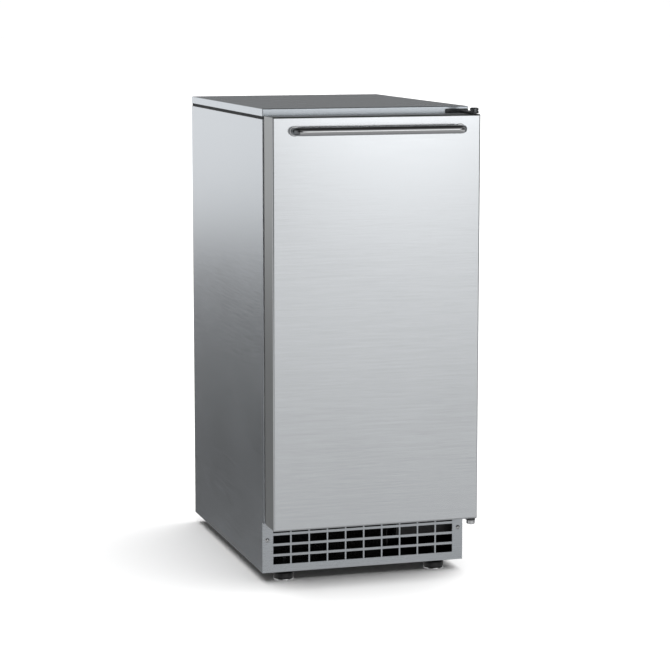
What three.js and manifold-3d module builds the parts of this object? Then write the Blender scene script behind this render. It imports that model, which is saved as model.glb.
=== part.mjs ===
// An undercounter ice maker for round "top hat" cubes: an insulated stainless cabinet with a front
// door on vertical hinge pins, an ice bin with the freezing unit hung from its ceiling, and an
// air-cooled refrigeration unit under the bin, behind a slotted toe grille.
// Millimetres. +X is to the right of someone facing the door, +Y goes to the back, +Z is up.
import * as THREE from "three";
import { mergeVertices } from "three/addons/utils/BufferGeometryUtils.js";
import Module from "manifold-3d";

// ---------------------------------------------------------------- driving dimensions
// cabinet
const CABINET_WIDTH = 380;
const CABINET_DEPTH = 534;
const OVERALL_HEIGHT = 850;
const FLOOR_CLEARANCE = 19; // from the floor to the underside of the base pan
const SHEET = 1.2; // steel sheet
const GAP = 0.3; // between neighbouring pieces
const RUNNING_GAP = 0.25; // around pins and shafts
const TOP_FLANGE = 13; // height of the top panel's folded edge
const SEAL_HEIGHT = 5.5; // dark strip between the top panel and the cabinet
const SEAL_INSET = 3;
const SEAL_WIDTH = 15;
const PAN_FLANGE = 14;
const BACK_SLOTS = 9;

// insulation and bin liner
const FOAM_WALL = 32;
const FOAM_BACK = 35;
const FOAM_TOP = 29;
const FOAM_FLOOR = 32;
const LINER_WALL = 2.5;
const LINER_LIP = 8; // the liner's flange behind the front collar
const SILL = 25; // the front collar's sill above the bin floor, which holds the ice in
const COLLAR_LIP = 2; // how far the collar stands over the liner's inner faces
const CHASE_WIDTH = 76; // groove for the pipes down the back of the insulation
const CHASE_DEPTH = 22;

// door
const GASKET_GAP = 12; // from the cabinet's front face to the back of the door
const DOOR_THICKNESS = 54;
const DOOR_BOTTOM = 112;
const DOOR_TOP_DROP = 11.5; // from the top of the cabinet down to the door's top edge
const GASKET_INSET = 12;
const GASKET_WIDTH = 18;
const PANEL_WALL = 2.2;
const DAM_REACH = 14; // the inner panel's raised middle, into the bin's mouth
const DAM_MARGIN = 12; // between that middle and the mouth
const HANDLE_DROP = 24.5; // from the door's top edge to the handle's centre line
const HANDLE_SPAN = 302; // between the centres of the handle's legs
const HANDLE_ROD = 14.5;
const HANDLE_STANDOFF = 26; // from the door's face to the rod's centre line
const HANDLE_BEND = 20;
const HANDLE_STUD = 6;
const HANDLE_COLLAR = 18; // outer diameter of the collar round each handle leg

// hinges
const PIN_FROM_SIDE = 9;
const PIN_FROM_FRONT = 10; // from the door's face back to the pin's axis
const PIN = 8;
const PIN_DEPTH = 20; // how far a pin reaches into the door
const PIN_CAP = 16;
const PIN_CAP_HEIGHT = 7.5;
const BUSH_WALL = 3;
const BRACKET = 3; // thickness of the hinge brackets
const BRACKET_LENGTH = 43;
const BRACKET_HEIGHT = 16;
const DOOR_TO_BRACKET = 1;

// toe grille
const GRILLE_RECESS = 12; // behind the cabinet's front face
const GRILLE_COLUMNS = 10;
const GRILLE_ROWS = 4;
const SLOT_PITCH = 34.3;
const SLOT_BAR = 3.2; // upright bars between the slots
const SLOT_HEIGHT = 14;
const ROW_PITCH = 19.2;
const GRILLE_FOOT = 15; // plain band under the lowest slots
const SCREW_FROM_SIDE = 9;
const SCREW_HEIGHT = 79;
const SCREW_HEAD = 8;
const SCREW_SHANK = 4;
const TAB_WIDTH = 18; // ears of the side panels that the grille's screws bite into

// levelling feet
const FOOT_PAD = 37;
const FOOT_HEIGHT = 14; // pad and grip below the stud
const FOOT_STUD = 10;
const FOOT_INSET_X = 46.5;
const FOOT_INSET_Y = 40;
const FOOT_THREAD = 22; // stud above the base pan's underside

// ice-making unit, hung from the top of the bin
const MODULE_FRONT = 100; // behind the cabinet's front face
const MODULE_BACK_GAP = 40;
const MODULE_SIDE_GAP = 5;
const CHEEK = 3;
const CHEEK_HEIGHT = 158;
const LEDGE = 12;
const CUP_PITCH = 40;
const MOST_CUP_ROWS = 4;
const CUP_OUTER = 32;
const CUP_WALL = 1.4;
const CUP_DEPTH = 28;
const EVAPORATOR_PLATE = 3;
const EVAPORATOR_DROP = 22; // from the bin's ceiling to the top of the plate
const COIL_TUBE = 9.5;
const CURTAIN_HEIGHT = 88;
const CURTAIN_THICKNESS = 2.5;
const CURTAIN_BARREL = 8;
const CURTAIN_PIN = 5;
const CURTAIN_SLOTS = 8;
const SUMP_HEIGHT = 42;
const SUMP_WALL = 2.5;
const SPRAY_PIPE = 10;
const NOZZLE_HEIGHT = 9;
const CHUTE_BAR = 3;
const PUMP_MOTOR = 60;
const IMPELLER = 34;
const VOLUTE = 44;
const FLOAT = 26;

// refrigeration and water
const COMPRESSOR_RADIUS = 76;
const COMPRESSOR_HEIGHT = 152;
const COMPRESSOR_STRETCH = 1.2; // the can is oval
const COVER_REACH = 26; // of the terminal cover beside the can
const CONDENSER_DEPTH = 44;
const FINS = 14;
const TUBE_ROWS = 3; // rows of tube through the condenser's fins
const FAN_RADIUS = 66;
const FAN_TIP_GAP = 4;
const SHROUD_MARGIN = 5; // of the condenser above and below the fan's opening
const ROOM_ABOVE = 10; // over the condenser, up to the deck that carries the bin
const FAN_BLADES = 5;
const CONTROL_BOX_WIDTH = 112;
const CONTROL_BOX_DEPTH = 118;
const CONTROL_BOX_HEIGHT = 118;
const COPPER_TUBE = 8;
const CAPILLARY = 6;
const WATER_TUBE = 8;
const DRAIN_TUBE = 20;
const FITTING_REACH = 14; // the water inlet's thread behind the cabinet

// scoop
const SCOOP_WIDTH = 64;
const SCOOP_DEPTH = 32;
const SCOOP_LENGTH = 125;
const SCOOP_HANDLE = 95;
const SCOOP_WALL = 2.2;
const HOLDER_DEPTH = 50;
const HOLDER_HEIGHT = 130; // above the bin's floor

// ---------------------------------------------------------------- derived places
const side = CABINET_WIDTH / 2;
const back = CABINET_DEPTH;
const insideX = side - SHEET - GAP;
const insideBack = back - SHEET - GAP;
const shoulder = OVERALL_HEIGHT - TOP_FLANGE - SEAL_HEIGHT;
const doorTop = OVERALL_HEIGHT - DOOR_TOP_DROP;
const doorBack = -GASKET_GAP;
const doorFace = doorBack - DOOR_THICKNESS;
const panFloor = FLOOR_CLEARANCE + SHEET;
const binHalf = side - SHEET - FOAM_WALL - LINER_WALL;
const binBack = back - SHEET - FOAM_BACK - LINER_WALL;
const binTop = shoulder - FOAM_TOP - LINER_WALL;
const condenserLow = FLOOR_CLEARANCE + FOOT_THREAD + 3;
const condenserHeight = 2 * (FAN_RADIUS + FAN_TIP_GAP + SHROUD_MARGIN);
const compressorZ = panFloor + 12;
const compressorTop = compressorZ + COMPRESSOR_HEIGHT;
const deckUnder = Math.max(condenserLow + condenserHeight, compressorTop + 9) + ROOM_ABOVE;
const deckTop = deckUnder + SHEET;
const binFloor = deckTop + GAP + FOAM_FLOOR + LINER_WALL;
const mouthHalf = binHalf - COLLAR_LIP;
const mouthLow = binFloor + SILL;
const mouthHigh = binTop - COLLAR_LIP;
const pinX = side - PIN_FROM_SIDE;
const pinY = doorFace + PIN_FROM_FRONT;
const grilleTop = DOOR_BOTTOM - 1;
const grilleBack = GRILLE_RECESS + SHEET;
const footX = side - FOOT_INSET_X;
const handleZ = doorTop - HANDLE_DROP;
const handleHalf = HANDLE_SPAN / 2;
const cheekOut = binHalf - MODULE_SIDE_GAP;
const cheekIn = cheekOut - CHEEK;
const moduleBack = binBack - MODULE_BACK_GAP;
const moduleTop = binTop - MODULE_SIDE_GAP;
const moduleLow = moduleTop - CHEEK_HEIGHT;
const curtainY = MODULE_FRONT + 12;
const curtainZ = moduleTop - 8;
const plateTop = binTop - EVAPORATOR_DROP;
const plateUnder = plateTop - EVAPORATOR_PLATE;
const cupUnder = plateUnder - CUP_DEPTH;
const cupColumns = Math.floor((2 * (cheekIn - 2 * LEDGE)) / CUP_PITCH);
const cupFrontY = curtainY + 55;
const cupSpanX = ((cupColumns - 1) * CUP_PITCH) / 2;
const coilZ = plateTop + GAP + COIL_TUBE / 2;
const sumpHalf = cheekIn - LEDGE;
const sumpFloor = moduleLow + CHEEK + GAP;
const sumpTop = sumpFloor + SUMP_HEIGHT;
const sumpFront = MODULE_FRONT + 48;
const sumpBack = moduleBack - 12;
const sprayZ = sumpTop + 8;
const pumpX = sumpHalf - 48;
const pumpY = sumpBack - 42;
const roomForCups = pumpY - PUMP_MOTOR / 2 - 8 - (cupFrontY - CUP_PITCH / 2);
// An even number of rows, so that the coil ends on the side where it began.
const cupRows = 2 * Math.floor(Math.min(MOST_CUP_ROWS, roomForCups / CUP_PITCH) / 2);
const cupBackY = cupFrontY + (cupRows - 1) * CUP_PITCH;
const chaseY = insideBack - CHASE_DEPTH / 2;
const suctionX = -cupSpanX;
const feedX = suctionX - 24;
const waterX = suctionX + 24;
const condenserLeft = -insideX + 14;
const condenserRight = insideX - CONTROL_BOX_WIDTH - 26;
const condenserX = (condenserLeft + condenserRight) / 2;
const condenserFront = grilleBack + 16;
const condenserBack = condenserFront + CONDENSER_DEPTH;
const condenserMiddle = (condenserFront + condenserBack) / 2;
const fanZ = condenserLow + condenserHeight / 2;
const shroudBack = condenserBack + GAP + SHEET;
const motorFront = shroudBack + 34;
const compressorX = insideX - COMPRESSOR_RADIUS * COMPRESSOR_STRETCH - 32;
const compressorY = insideBack - COMPRESSOR_RADIUS - 22;
const coverLeft = compressorX - COMPRESSOR_RADIUS * COMPRESSOR_STRETCH - GAP - COVER_REACH;
const boxLeft = insideX - 6 - CONTROL_BOX_WIDTH;
const boxFront = grilleBack + 26;
const boxBack = boxFront + CONTROL_BOX_DEPTH;
const boxLow = panFloor + 42;
const rockerX = boxLeft + 34;
const rockerZ = boxLow + CONTROL_BOX_HEIGHT - 34;
const valveX = insideX - 38;
const valveZ = 100;
const drainX = Math.min(-binHalf + 60, coverLeft - DRAIN_TUBE / 2 - 8);
const drainY = binBack - 95;
const drainOutletZ = 62;
const cordX = -insideX + 40;
const cordZ = 70;
const scoopX = -binHalf + 8; // back of the scoop
const scoopY = 60;
const holderZ = binFloor + HOLDER_HEIGHT;

// ---------------------------------------------------------------- solids
const wasm = await Module();
wasm.setup();

function asSolid(geometry) {
  const bare = geometry.clone();
  bare.deleteAttribute("normal");
  bare.deleteAttribute("uv");
  const merged = mergeVertices(bare, 1e-4);
  const vertProperties = merged.attributes.position.array;
  const triVerts = new Uint32Array(merged.index.array);
  return new wasm.Manifold(new wasm.Mesh({ numProp: 3, vertProperties, triVerts }));
}

function asGeometry(solid) {
  const mesh = solid.getMesh();
  const geometry = new THREE.BufferGeometry();
  geometry.setAttribute("position", new THREE.BufferAttribute(new Float32Array(mesh.vertProperties), 3));
  geometry.setIndex(new THREE.BufferAttribute(new Uint32Array(mesh.triVerts), 1));
  return geometry;
}

function join(...geometries) {
  return asGeometry(geometries.map(asSolid).reduce((whole, next) => whole.add(next)));
}

function cut(base, ...tools) {
  return asGeometry(tools.map(asSolid).reduce((whole, next) => whole.subtract(next), asSolid(base)));
}

// A block between two limits on each axis.
function block([x0, x1], [y0, y1], [z0, z1]) {
  const geometry = new THREE.BoxGeometry(x1 - x0, y1 - y0, z1 - z0);
  return geometry.translate((x0 + x1) / 2, (y0 + y1) / 2, (z0 + z1) / 2);
}

// A round bar along one axis, from a to b; at holds its other two coordinates in X, Y, Z order.
function bar(axis, diameter, [a, b], at, sides = 20) {
  const geometry = new THREE.CylinderGeometry(diameter / 2, diameter / 2, b - a, sides);
  const middle = (a + b) / 2;
  if (axis === "x") return geometry.rotateZ(Math.PI / 2).translate(middle, at[0], at[1]);
  if (axis === "z") return geometry.rotateX(Math.PI / 2).translate(at[0], at[1], middle);
  return geometry.translate(at[0], middle, at[1]);
}

// A turned shape about Z from a profile of [radius, height] pairs, which starts and ends on the axis.
function turned(profile, sides = 20) {
  const points = profile.map(([r, h]) => new THREE.Vector2(r, h));
  return new THREE.LatheGeometry(points, sides).rotateX(Math.PI / 2);
}

// A flat picture-frame ring across one axis: half sizes and limits of its outside and its opening.
function frame(axis, outer, inner, [a, b]) {
  const over = 1;
  if (axis === "y") {
    const ring = block(outer[0], [a, b], outer[1]);
    return cut(ring, block(inner[0], [a - over, b + over], inner[1]));
  }
  const ring = block(outer[0], outer[1], [a, b]);
  return cut(ring, block(inner[0], inner[1], [a - over, b + over]));
}

// A way through corner points with each corner rounded. It is held as stations, each with its
// heading: the two ends, and a few round each bend.
class Route extends THREE.Curve {
  constructor(points, radius, bendSteps) {
    super();
    const corners = points.map((p) => new THREE.Vector3(...p));
    const heading = (i) => corners[i + 1].clone().sub(corners[i]).normalize();
    this.stations = [[corners[0], heading(0)]];
    for (let i = 1; i < corners.length - 1; i++) {
      const [legIn, legOut] = [corners[i - 1].distanceTo(corners[i]), corners[i].distanceTo(corners[i + 1])];
      const reach = Math.min(radius, legIn / 2.05, legOut / 2.05);
      const enter = corners[i].clone().addScaledVector(heading(i - 1), -reach);
      const leave = corners[i].clone().addScaledVector(heading(i), reach);
      const pull = 0.5523; // a cubic with this much pull is a quarter circle
      const controls = [enter, leave].map((end) => end.clone().lerp(corners[i], pull));
      const bend = new THREE.CubicBezierCurve3(enter, ...controls, leave);
      for (let k = 0; k <= bendSteps; k++) {
        this.stations.push([bend.getPoint(k / bendSteps), bend.getTangent(k / bendSteps)]);
      }
    }
    this.stations.push([corners[corners.length - 1], heading(corners.length - 2)]);
  }

  station(u) {
    return this.stations[Math.round(u * (this.stations.length - 1))];
  }

  getPointAt(u) {
    return this.station(u)[0].clone();
  }

  getTangentAt(u) {
    return this.station(u)[1].clone();
  }
}

// A solid round tube through corner points.
function pipe(points, diameter, bend, { quarter = 2, bendSteps = 4 } = {}) {
  const section = new THREE.Shape();
  section.absarc(0, 0, diameter / 2, 0, 2 * Math.PI);
  const extrudePath = new Route(points, bend, bendSteps);
  const steps = extrudePath.stations.length - 1;
  const options = { steps, curveSegments: 2 * quarter, extrudePath, bevelEnabled: false };
  return new THREE.ExtrudeGeometry(section, options);
}

// Copies of a tool on a grid in X and Z or X and Y.
function grid(columns, rows, make) {
  const made = [];
  for (let c = 0; c < columns; c++) {
    for (let r = 0; r < rows; r++) made.push(make(c, r));
  }
  return made;
}

// ---------------------------------------------------------------- materials
const finish = (color, roughness, metalness) =>
  new THREE.MeshStandardMaterial({ color, roughness, metalness });
const brushed = finish(0xc9ccd0, 0.35, 0.9);
const casing = finish(0x8b9094, 0.4, 0.85);
const galvanised = finish(0xa9adb0, 0.55, 0.8);
const chrome = finish(0xd8dadd, 0.12, 1);
const blackSteel = finish(0x1c1e20, 0.5, 0.5);
const blackPaint = finish(0x141516, 0.45, 0.2);
const copper = finish(0xb87350, 0.35, 0.9);
const tinned = finish(0xb9bdbf, 0.35, 0.9);
const aluminium = finish(0xb4b8ba, 0.4, 0.9);
const whitePlastic = finish(0xf0f1ee, 0.45, 0);
const greyPlastic = finish(0x5e6366, 0.55, 0);
const blackPlastic = finish(0x17181a, 0.5, 0);
const clearBlue = finish(0x6f93ab, 0.3, 0);
const rubber = finish(0x222325, 0.8, 0);
const foam = finish(0xe6dcae, 0.9, 0);

const machine = new THREE.Group();

function piece(name, geometry, material, position = [0, 0, 0], parent = machine) {
  const mesh = new THREE.Mesh(geometry, material);
  mesh.name = name;
  mesh.position.set(...position);
  parent.add(mesh);
  return mesh;
}

// ---------------------------------------------------------------- cabinet shell
const pipeHoles = [
  [suctionX, COPPER_TUBE + 6],
  [feedX, COPPER_TUBE + 6],
  [waterX, WATER_TUBE + 6],
];

function buildShell() {
  const footHole = (x, y) =>
    bar("z", FOOT_STUD + 4 * RUNNING_GAP, [FLOOR_CLEARANCE - 1, panFloor + 1], [x, y]);
  const panFront = grilleBack + GAP;
  const pan = cut(
    block([-insideX, insideX], [panFront, insideBack], [FLOOR_CLEARANCE, FLOOR_CLEARANCE + PAN_FLANGE]),
    block(
      [-insideX + SHEET, insideX - SHEET],
      [panFront + SHEET, insideBack - SHEET],
      [panFloor, FLOOR_CLEARANCE + PAN_FLANGE + 1],
    ),
    ...[-footX, footX].flatMap((x) => [footHole(x, FOOT_INSET_Y), footHole(x, back - FOOT_INSET_Y)]),
  );
  piece("base_pan", pan, galvanised);

  for (const [name, sign] of [["left_side_panel", -1], ["right_side_panel", 1]]) {
    const span = (a, b) => [Math.min(sign * a, sign * b), Math.max(sign * a, sign * b)];
    const earY = grilleBack + GAP;
    const earZ = [SCREW_HEIGHT - 14, SCREW_HEIGHT + 14];
    const panel = cut(
      join(
        block(span(side - SHEET, side), [0, back], [FLOOR_CLEARANCE, shoulder]),
        block(span(side - TAB_WIDTH, side - SHEET / 2), [earY, earY + SHEET], [earZ[0], earZ[1]]),
      ),
      block(span(side - SHEET * 3, side + 1), [-1, earY], [FLOOR_CLEARANCE - 1, grilleTop + GAP]),
      bar("y", SCREW_SHANK + 2 * RUNNING_GAP, [earY - 1, earY + 5], [
        sign * (side - SCREW_FROM_SIDE),
        SCREW_HEIGHT,
      ]),
    );
    piece(name, panel, casing);
  }

  const slotTool = (c) => {
    const x = (c - (BACK_SLOTS - 1) / 2) * (insideX / BACK_SLOTS) * 1.5;
    return block([x - 3, x + 3], [back - 5, back + 1], [deckUnder - 70, deckUnder - 20]);
  };
  const backPanel = cut(
    block([-insideX, insideX], [back - SHEET, back], [FLOOR_CLEARANCE, shoulder]),
    ...Array.from({ length: BACK_SLOTS }, (_, c) => slotTool(c)),
    bar("y", 28 + 2 * GAP, [back - 5, back + 1], [valveX, valveZ]),
    bar("y", DRAIN_TUBE + 2 * GAP, [back - 5, back + 1], [drainX, drainOutletZ]),
    block([cordX - 16, cordX + 16], [back - 5, back + 1], [cordZ - 11, cordZ + 11]),
  );
  piece("back_panel", backPanel, galvanised);

  const topUnder = OVERALL_HEIGHT - TOP_FLANGE;
  const top = cut(
    block([-side, side], [0, back], [topUnder, OVERALL_HEIGHT]),
    block([-side + SHEET, side - SHEET], [SHEET, back - SHEET], [topUnder - 1, OVERALL_HEIGHT - SHEET]),
  );
  piece("top_panel", top, casing);

  const sealOut = side - SEAL_INSET;
  const seal = frame(
    "z",
    [[-sealOut, sealOut], [SEAL_INSET, back - SEAL_INSET]],
    [
      [-sealOut + SEAL_WIDTH, sealOut - SEAL_WIDTH],
      [SEAL_INSET + SEAL_WIDTH, back - SEAL_INSET - SEAL_WIDTH],
    ],
    [shoulder + GAP, topUnder - GAP],
  );
  piece("top_seal", seal, rubber);

  const collar = frame(
    "y",
    [[-insideX, insideX], [DOOR_BOTTOM, shoulder]],
    [[-mouthHalf, mouthHalf], [mouthLow, mouthHigh]],
    [0, SHEET],
  );
  piece("front_collar", collar, brushed);

  const deck = cut(
    block([-insideX, insideX], [SHEET + GAP, insideBack], [deckUnder, deckTop]),
    ...pipeHoles.map(([x, d]) => bar("z", d, [deckUnder - 1, deckTop + 1], [x, chaseY], 12)),
    bar("z", DRAIN_TUBE + 2, [deckUnder - 1, deckTop + 1], [drainX, drainY]),
  );
  piece("bin_deck", deck, galvanised);
}

// ---------------------------------------------------------------- insulation and liner
function buildBin() {
  const linerOut = binHalf + LINER_WALL;
  const linerFront = SHEET + GAP;
  const backHoles = pipeHoles.map(([x, d]) => [x, d + 2]);
  const foamBlock = join(
    block([-insideX, insideX], [linerFront, insideBack], [deckTop + GAP, shoulder]),
    block(
      [-side + SEAL_INSET + SEAL_WIDTH + GAP, side - SEAL_INSET - SEAL_WIDTH - GAP],
      [SEAL_INSET + SEAL_WIDTH + GAP, back - SEAL_INSET - SEAL_WIDTH - GAP],
      [shoulder - 1, OVERALL_HEIGHT - SHEET - GAP],
    ),
  );
  const insulation = cut(
    foamBlock,
    block(
      [-linerOut - GAP, linerOut + GAP],
      [linerFront - 1, binBack + LINER_WALL + GAP],
      [binFloor - LINER_WALL - GAP, binTop + LINER_WALL + GAP],
    ),
    block(
      [-linerOut - LINER_LIP - GAP, linerOut + LINER_LIP + GAP],
      [linerFront - 1, linerFront + LINER_WALL + GAP],
      [binFloor - LINER_WALL - LINER_LIP - GAP, binTop + LINER_WALL + LINER_LIP + GAP],
    ),
    block(
      [suctionX - CHASE_WIDTH / 2, suctionX + CHASE_WIDTH / 2],
      [insideBack - CHASE_DEPTH, insideBack + 1],
      [deckTop - 1, coilZ + 14],
    ),
    ...backHoles.map(([x, d]) => bar("y", d, [binBack, insideBack - 1], [x, coilZ], 12)),
    bar("z", DRAIN_TUBE + 2, [deckTop - 1, binFloor], [drainX, drainY]),
  );
  piece("cabinet_insulation", insulation, foam);

  const liner = cut(
    join(
      block(
        [-linerOut, linerOut],
        [linerFront, binBack + LINER_WALL],
        [binFloor - LINER_WALL, binTop + LINER_WALL],
      ),
      block(
        [-linerOut - LINER_LIP, linerOut + LINER_LIP],
        [linerFront, linerFront + LINER_WALL],
        [binFloor - LINER_WALL - LINER_LIP, binTop + LINER_WALL + LINER_LIP],
      ),
    ),
    block([-binHalf, binHalf], [linerFront - 1, binBack], [binFloor, binTop]),
    ...backHoles.map(([x, d]) => bar("y", d, [binBack - 1, binBack + 9], [x, coilZ], 12)),
    bar("z", DRAIN_TUBE + 2, [binFloor - 9, binFloor + 1], [drainX, drainY]),
  );
  piece("bin_liner", liner, whitePlastic);
}

// ---------------------------------------------------------------- toe grille and feet
function buildToe() {
  const slotWidth = SLOT_PITCH - SLOT_BAR;
  const slots = grid(GRILLE_COLUMNS, GRILLE_ROWS, (c, r) => {
    const x = (c - (GRILLE_COLUMNS - 1) / 2) * SLOT_PITCH;
    const z = FLOOR_CLEARANCE + GRILLE_FOOT + r * ROW_PITCH;
    return block([x - slotWidth / 2, x + slotWidth / 2], [0, 30], [z, z + SLOT_HEIGHT]);
  });
  const screwX = side - SCREW_FROM_SIDE;
  const screwHoles = [-screwX, screwX].map((x) =>
    bar("y", SCREW_SHANK + 2 * RUNNING_GAP, [0, 30], [x, SCREW_HEIGHT], 16),
  );
  const grille = cut(
    block([-side, side], [GRILLE_RECESS, grilleBack], [FLOOR_CLEARANCE, grilleTop]),
    ...slots,
    ...screwHoles,
  );
  piece("toe_grille", grille, brushed);

  const headTop = 2.4;
  const screw = turned([
    [0, -9],
    [SCREW_SHANK / 2, -9],
    [SCREW_SHANK / 2, 0],
    [SCREW_HEAD / 2, 0],
    [SCREW_HEAD / 2, headTop / 2],
    [SCREW_HEAD / 3, headTop],
    [0, headTop],
  ], 16).rotateX(Math.PI / 2); // the head faces the front
  for (const [name, x] of [["grille_screw_left", -screwX], ["grille_screw_right", screwX]]) {
    piece(name, screw, chrome, [x, GRILLE_RECESS - GAP, SCREW_HEIGHT]);
  }

  const pad = FOOT_PAD / 2;
  const stud = FOOT_STUD / 2;
  const foot = turned([
    [0, 0],
    [pad - 2, 0],
    [pad - 0.5, 1.5],
    [pad - 0.5, 4.5],
    [pad - 2.5, 5.5],
    [pad, 7],
    [pad, FOOT_HEIGHT - 2],
    [pad - 2, FOOT_HEIGHT],
    [stud, FOOT_HEIGHT],
    [stud, FLOOR_CLEARANCE + FOOT_THREAD],
    [0, FLOOR_CLEARANCE + FOOT_THREAD],
  ], 16);
  for (const [corner, x, y] of [
    ["front_left", -footX, FOOT_INSET_Y],
    ["front_right", footX, FOOT_INSET_Y],
    ["rear_left", -footX, back - FOOT_INSET_Y],
    ["rear_right", footX, back - FOOT_INSET_Y],
  ]) {
    piece("levelling_foot_" + corner, foot, chrome, [x, y, 0]);
  }
}

// ---------------------------------------------------------------- hinges
// A right-angled bracket: an upright leaf on the cabinet, and a tab that carries the pin.
function buildHinges() {
  const leafX = [side - BRACKET_LENGTH, side - 1];
  const leafY = [-GAP - BRACKET, -GAP];
  const tabX = [pinX - PIN_CAP / 2 - 1, side - 1];
  const bracket = (tabZ, leafZ) =>
    cut(
      join(
        block(leafX, leafY, leafZ),
        block(tabX, [pinY, -GAP], tabZ),
        bar("z", side - 1 - tabX[0], tabZ, [(side - 1 + tabX[0]) / 2, pinY]),
      ),
      bar("z", PIN + 2 * GAP, [tabZ[0] - 1, tabZ[1] + 1], [pinX, pinY]),
    );
  const upperTab = [doorTop + DOOR_TO_BRACKET, doorTop + DOOR_TO_BRACKET + BRACKET];
  const lowerTab = [DOOR_BOTTOM - DOOR_TO_BRACKET - BRACKET, DOOR_BOTTOM - DOOR_TO_BRACKET];
  const upperLeaf = [upperTab[1] + 3 - BRACKET_HEIGHT, upperTab[1] + 3];
  const lowerLeaf = [lowerTab[0], DOOR_BOTTOM + GASKET_INSET - 2];
  piece("upper_hinge_bracket", bracket(upperTab, upperLeaf), blackSteel);
  piece("lower_hinge_bracket", bracket(lowerTab, lowerLeaf), blackSteel);

  const pin = turned([
    [0, -PIN_DEPTH],
    [PIN / 2 - 0.8, -PIN_DEPTH],
    [PIN / 2, 0.8 - PIN_DEPTH],
    [PIN / 2, DOOR_TO_BRACKET + BRACKET + GAP],
    [PIN_CAP / 2, DOOR_TO_BRACKET + BRACKET + GAP],
    [PIN_CAP / 2, DOOR_TO_BRACKET + BRACKET + PIN_CAP_HEIGHT - 1.5],
    [PIN_CAP / 2 - 1.5, DOOR_TO_BRACKET + BRACKET + PIN_CAP_HEIGHT],
    [0, DOOR_TO_BRACKET + BRACKET + PIN_CAP_HEIGHT],
  ]);
  piece("upper_hinge_pin", pin, chrome, [pinX, pinY, doorTop]);
  piece("lower_hinge_pin", pin, chrome, [pinX, pinY, DOOR_BOTTOM]).rotation.x = Math.PI;
}

// ---------------------------------------------------------------- door
const bushOuter = PIN + 2 * RUNNING_GAP + 2 * BUSH_WALL;
const bushLength = PIN_DEPTH + 4;

function buildDoor() {
  const skinInX = side - SHEET;
  const studTools = (diameter, depth) =>
    [-handleHalf, handleHalf].map((x) =>
      bar("y", diameter, [doorFace - 1, doorFace + depth], [x, handleZ], 16),
    );
  const bushTools = (clear) => [
    bar("z", bushOuter + 2 * clear, [doorTop - bushLength - 1, doorTop + 1], [pinX, pinY]),
    bar("z", bushOuter + 2 * clear, [DOOR_BOTTOM - 1, DOOR_BOTTOM + bushLength + 1], [pinX, pinY]),
  ];
  const skin = cut(
    block([-side, side], [doorFace, doorBack], [DOOR_BOTTOM, doorTop]),
    block(
      [-skinInX, skinInX],
      [doorFace + SHEET, doorBack + 1],
      [DOOR_BOTTOM + SHEET, doorTop - SHEET],
    ),
    ...studTools(HANDLE_STUD + 2 * GAP, 10),
    ...bushTools(GAP),
  );
  piece("door_skin", skin, brushed);

  const damX = mouthHalf - DAM_MARGIN;
  const damZ = [mouthLow + DAM_MARGIN, mouthHigh - DAM_MARGIN];
  const sheetX = skinInX - GAP;
  const sheetZ = [DOOR_BOTTOM + SHEET + GAP, doorTop - SHEET - GAP];
  const sheetY = [doorBack - GAP - PANEL_WALL, doorBack - GAP];
  const inner = cut(
    join(block([-sheetX, sheetX], sheetY, sheetZ), block([-damX, damX], [sheetY[0], DAM_REACH], damZ)),
    block(
      [-damX + PANEL_WALL, damX - PANEL_WALL],
      [sheetY[0] - 1, DAM_REACH - PANEL_WALL],
      [damZ[0] + PANEL_WALL, damZ[1] - PANEL_WALL],
    ),
  );
  piece("door_inner_panel", inner, whitePlastic);

  const core = cut(
    join(
      block([-sheetX, sheetX], [doorFace + SHEET + GAP, sheetY[0] - GAP], sheetZ),
      block(
        [-damX + PANEL_WALL + GAP, damX - PANEL_WALL - GAP],
        [sheetY[0] - 2, DAM_REACH - PANEL_WALL - GAP],
        [damZ[0] + PANEL_WALL + GAP, damZ[1] - PANEL_WALL - GAP],
      ),
    ),
    ...studTools(HANDLE_STUD + 4, 24),
    ...bushTools(1),
  );
  piece("door_insulation", core, foam);

  const gasketX = side - GASKET_INSET;
  const gasketZ = [DOOR_BOTTOM + GASKET_INSET, doorTop - GASKET_INSET];
  const gasket = frame(
    "y",
    [[-gasketX, gasketX], gasketZ],
    [
      [-gasketX + GASKET_WIDTH, gasketX - GASKET_WIDTH],
      [gasketZ[0] + GASKET_WIDTH, gasketZ[1] - GASKET_WIDTH],
    ],
    [doorBack, -0.5],
  );
  piece("door_gasket", gasket, rubber);

  const bushRing = cut(
    bar("z", bushOuter, [0, bushLength - GAP], [0, 0]),
    bar("z", PIN + 2 * RUNNING_GAP, [-1, bushLength + 1], [0, 0]),
  );
  piece("upper_hinge_bush", bushRing, greyPlastic, [pinX, pinY, doorTop - bushLength + GAP / 2]);
  piece("lower_hinge_bush", bushRing, greyPlastic, [pinX, pinY, DOOR_BOTTOM + GAP / 2]);
}

function buildHandle() {
  const root = doorFace - GAP;
  const rodY = doorFace - HANDLE_STANDOFF;
  const corners = [
    [-handleHalf, root, handleZ],
    [-handleHalf, rodY, handleZ],
    [handleHalf, rodY, handleZ],
    [handleHalf, root, handleZ],
  ];
  const studs = [-handleHalf, handleHalf].map((x) =>
    bar("y", HANDLE_STUD, [root - 1, doorFace + 20], [x, handleZ], 12),
  );
  const collars = [-handleHalf, handleHalf].map((x) =>
    bar("y", HANDLE_COLLAR, [root - 3, root], [x, handleZ]),
  );
  const rod = pipe(corners, HANDLE_ROD, HANDLE_BEND, { quarter: 4, bendSteps: 5 });
  piece("door_handle", join(rod, ...collars, ...studs), chrome);
}

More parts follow.
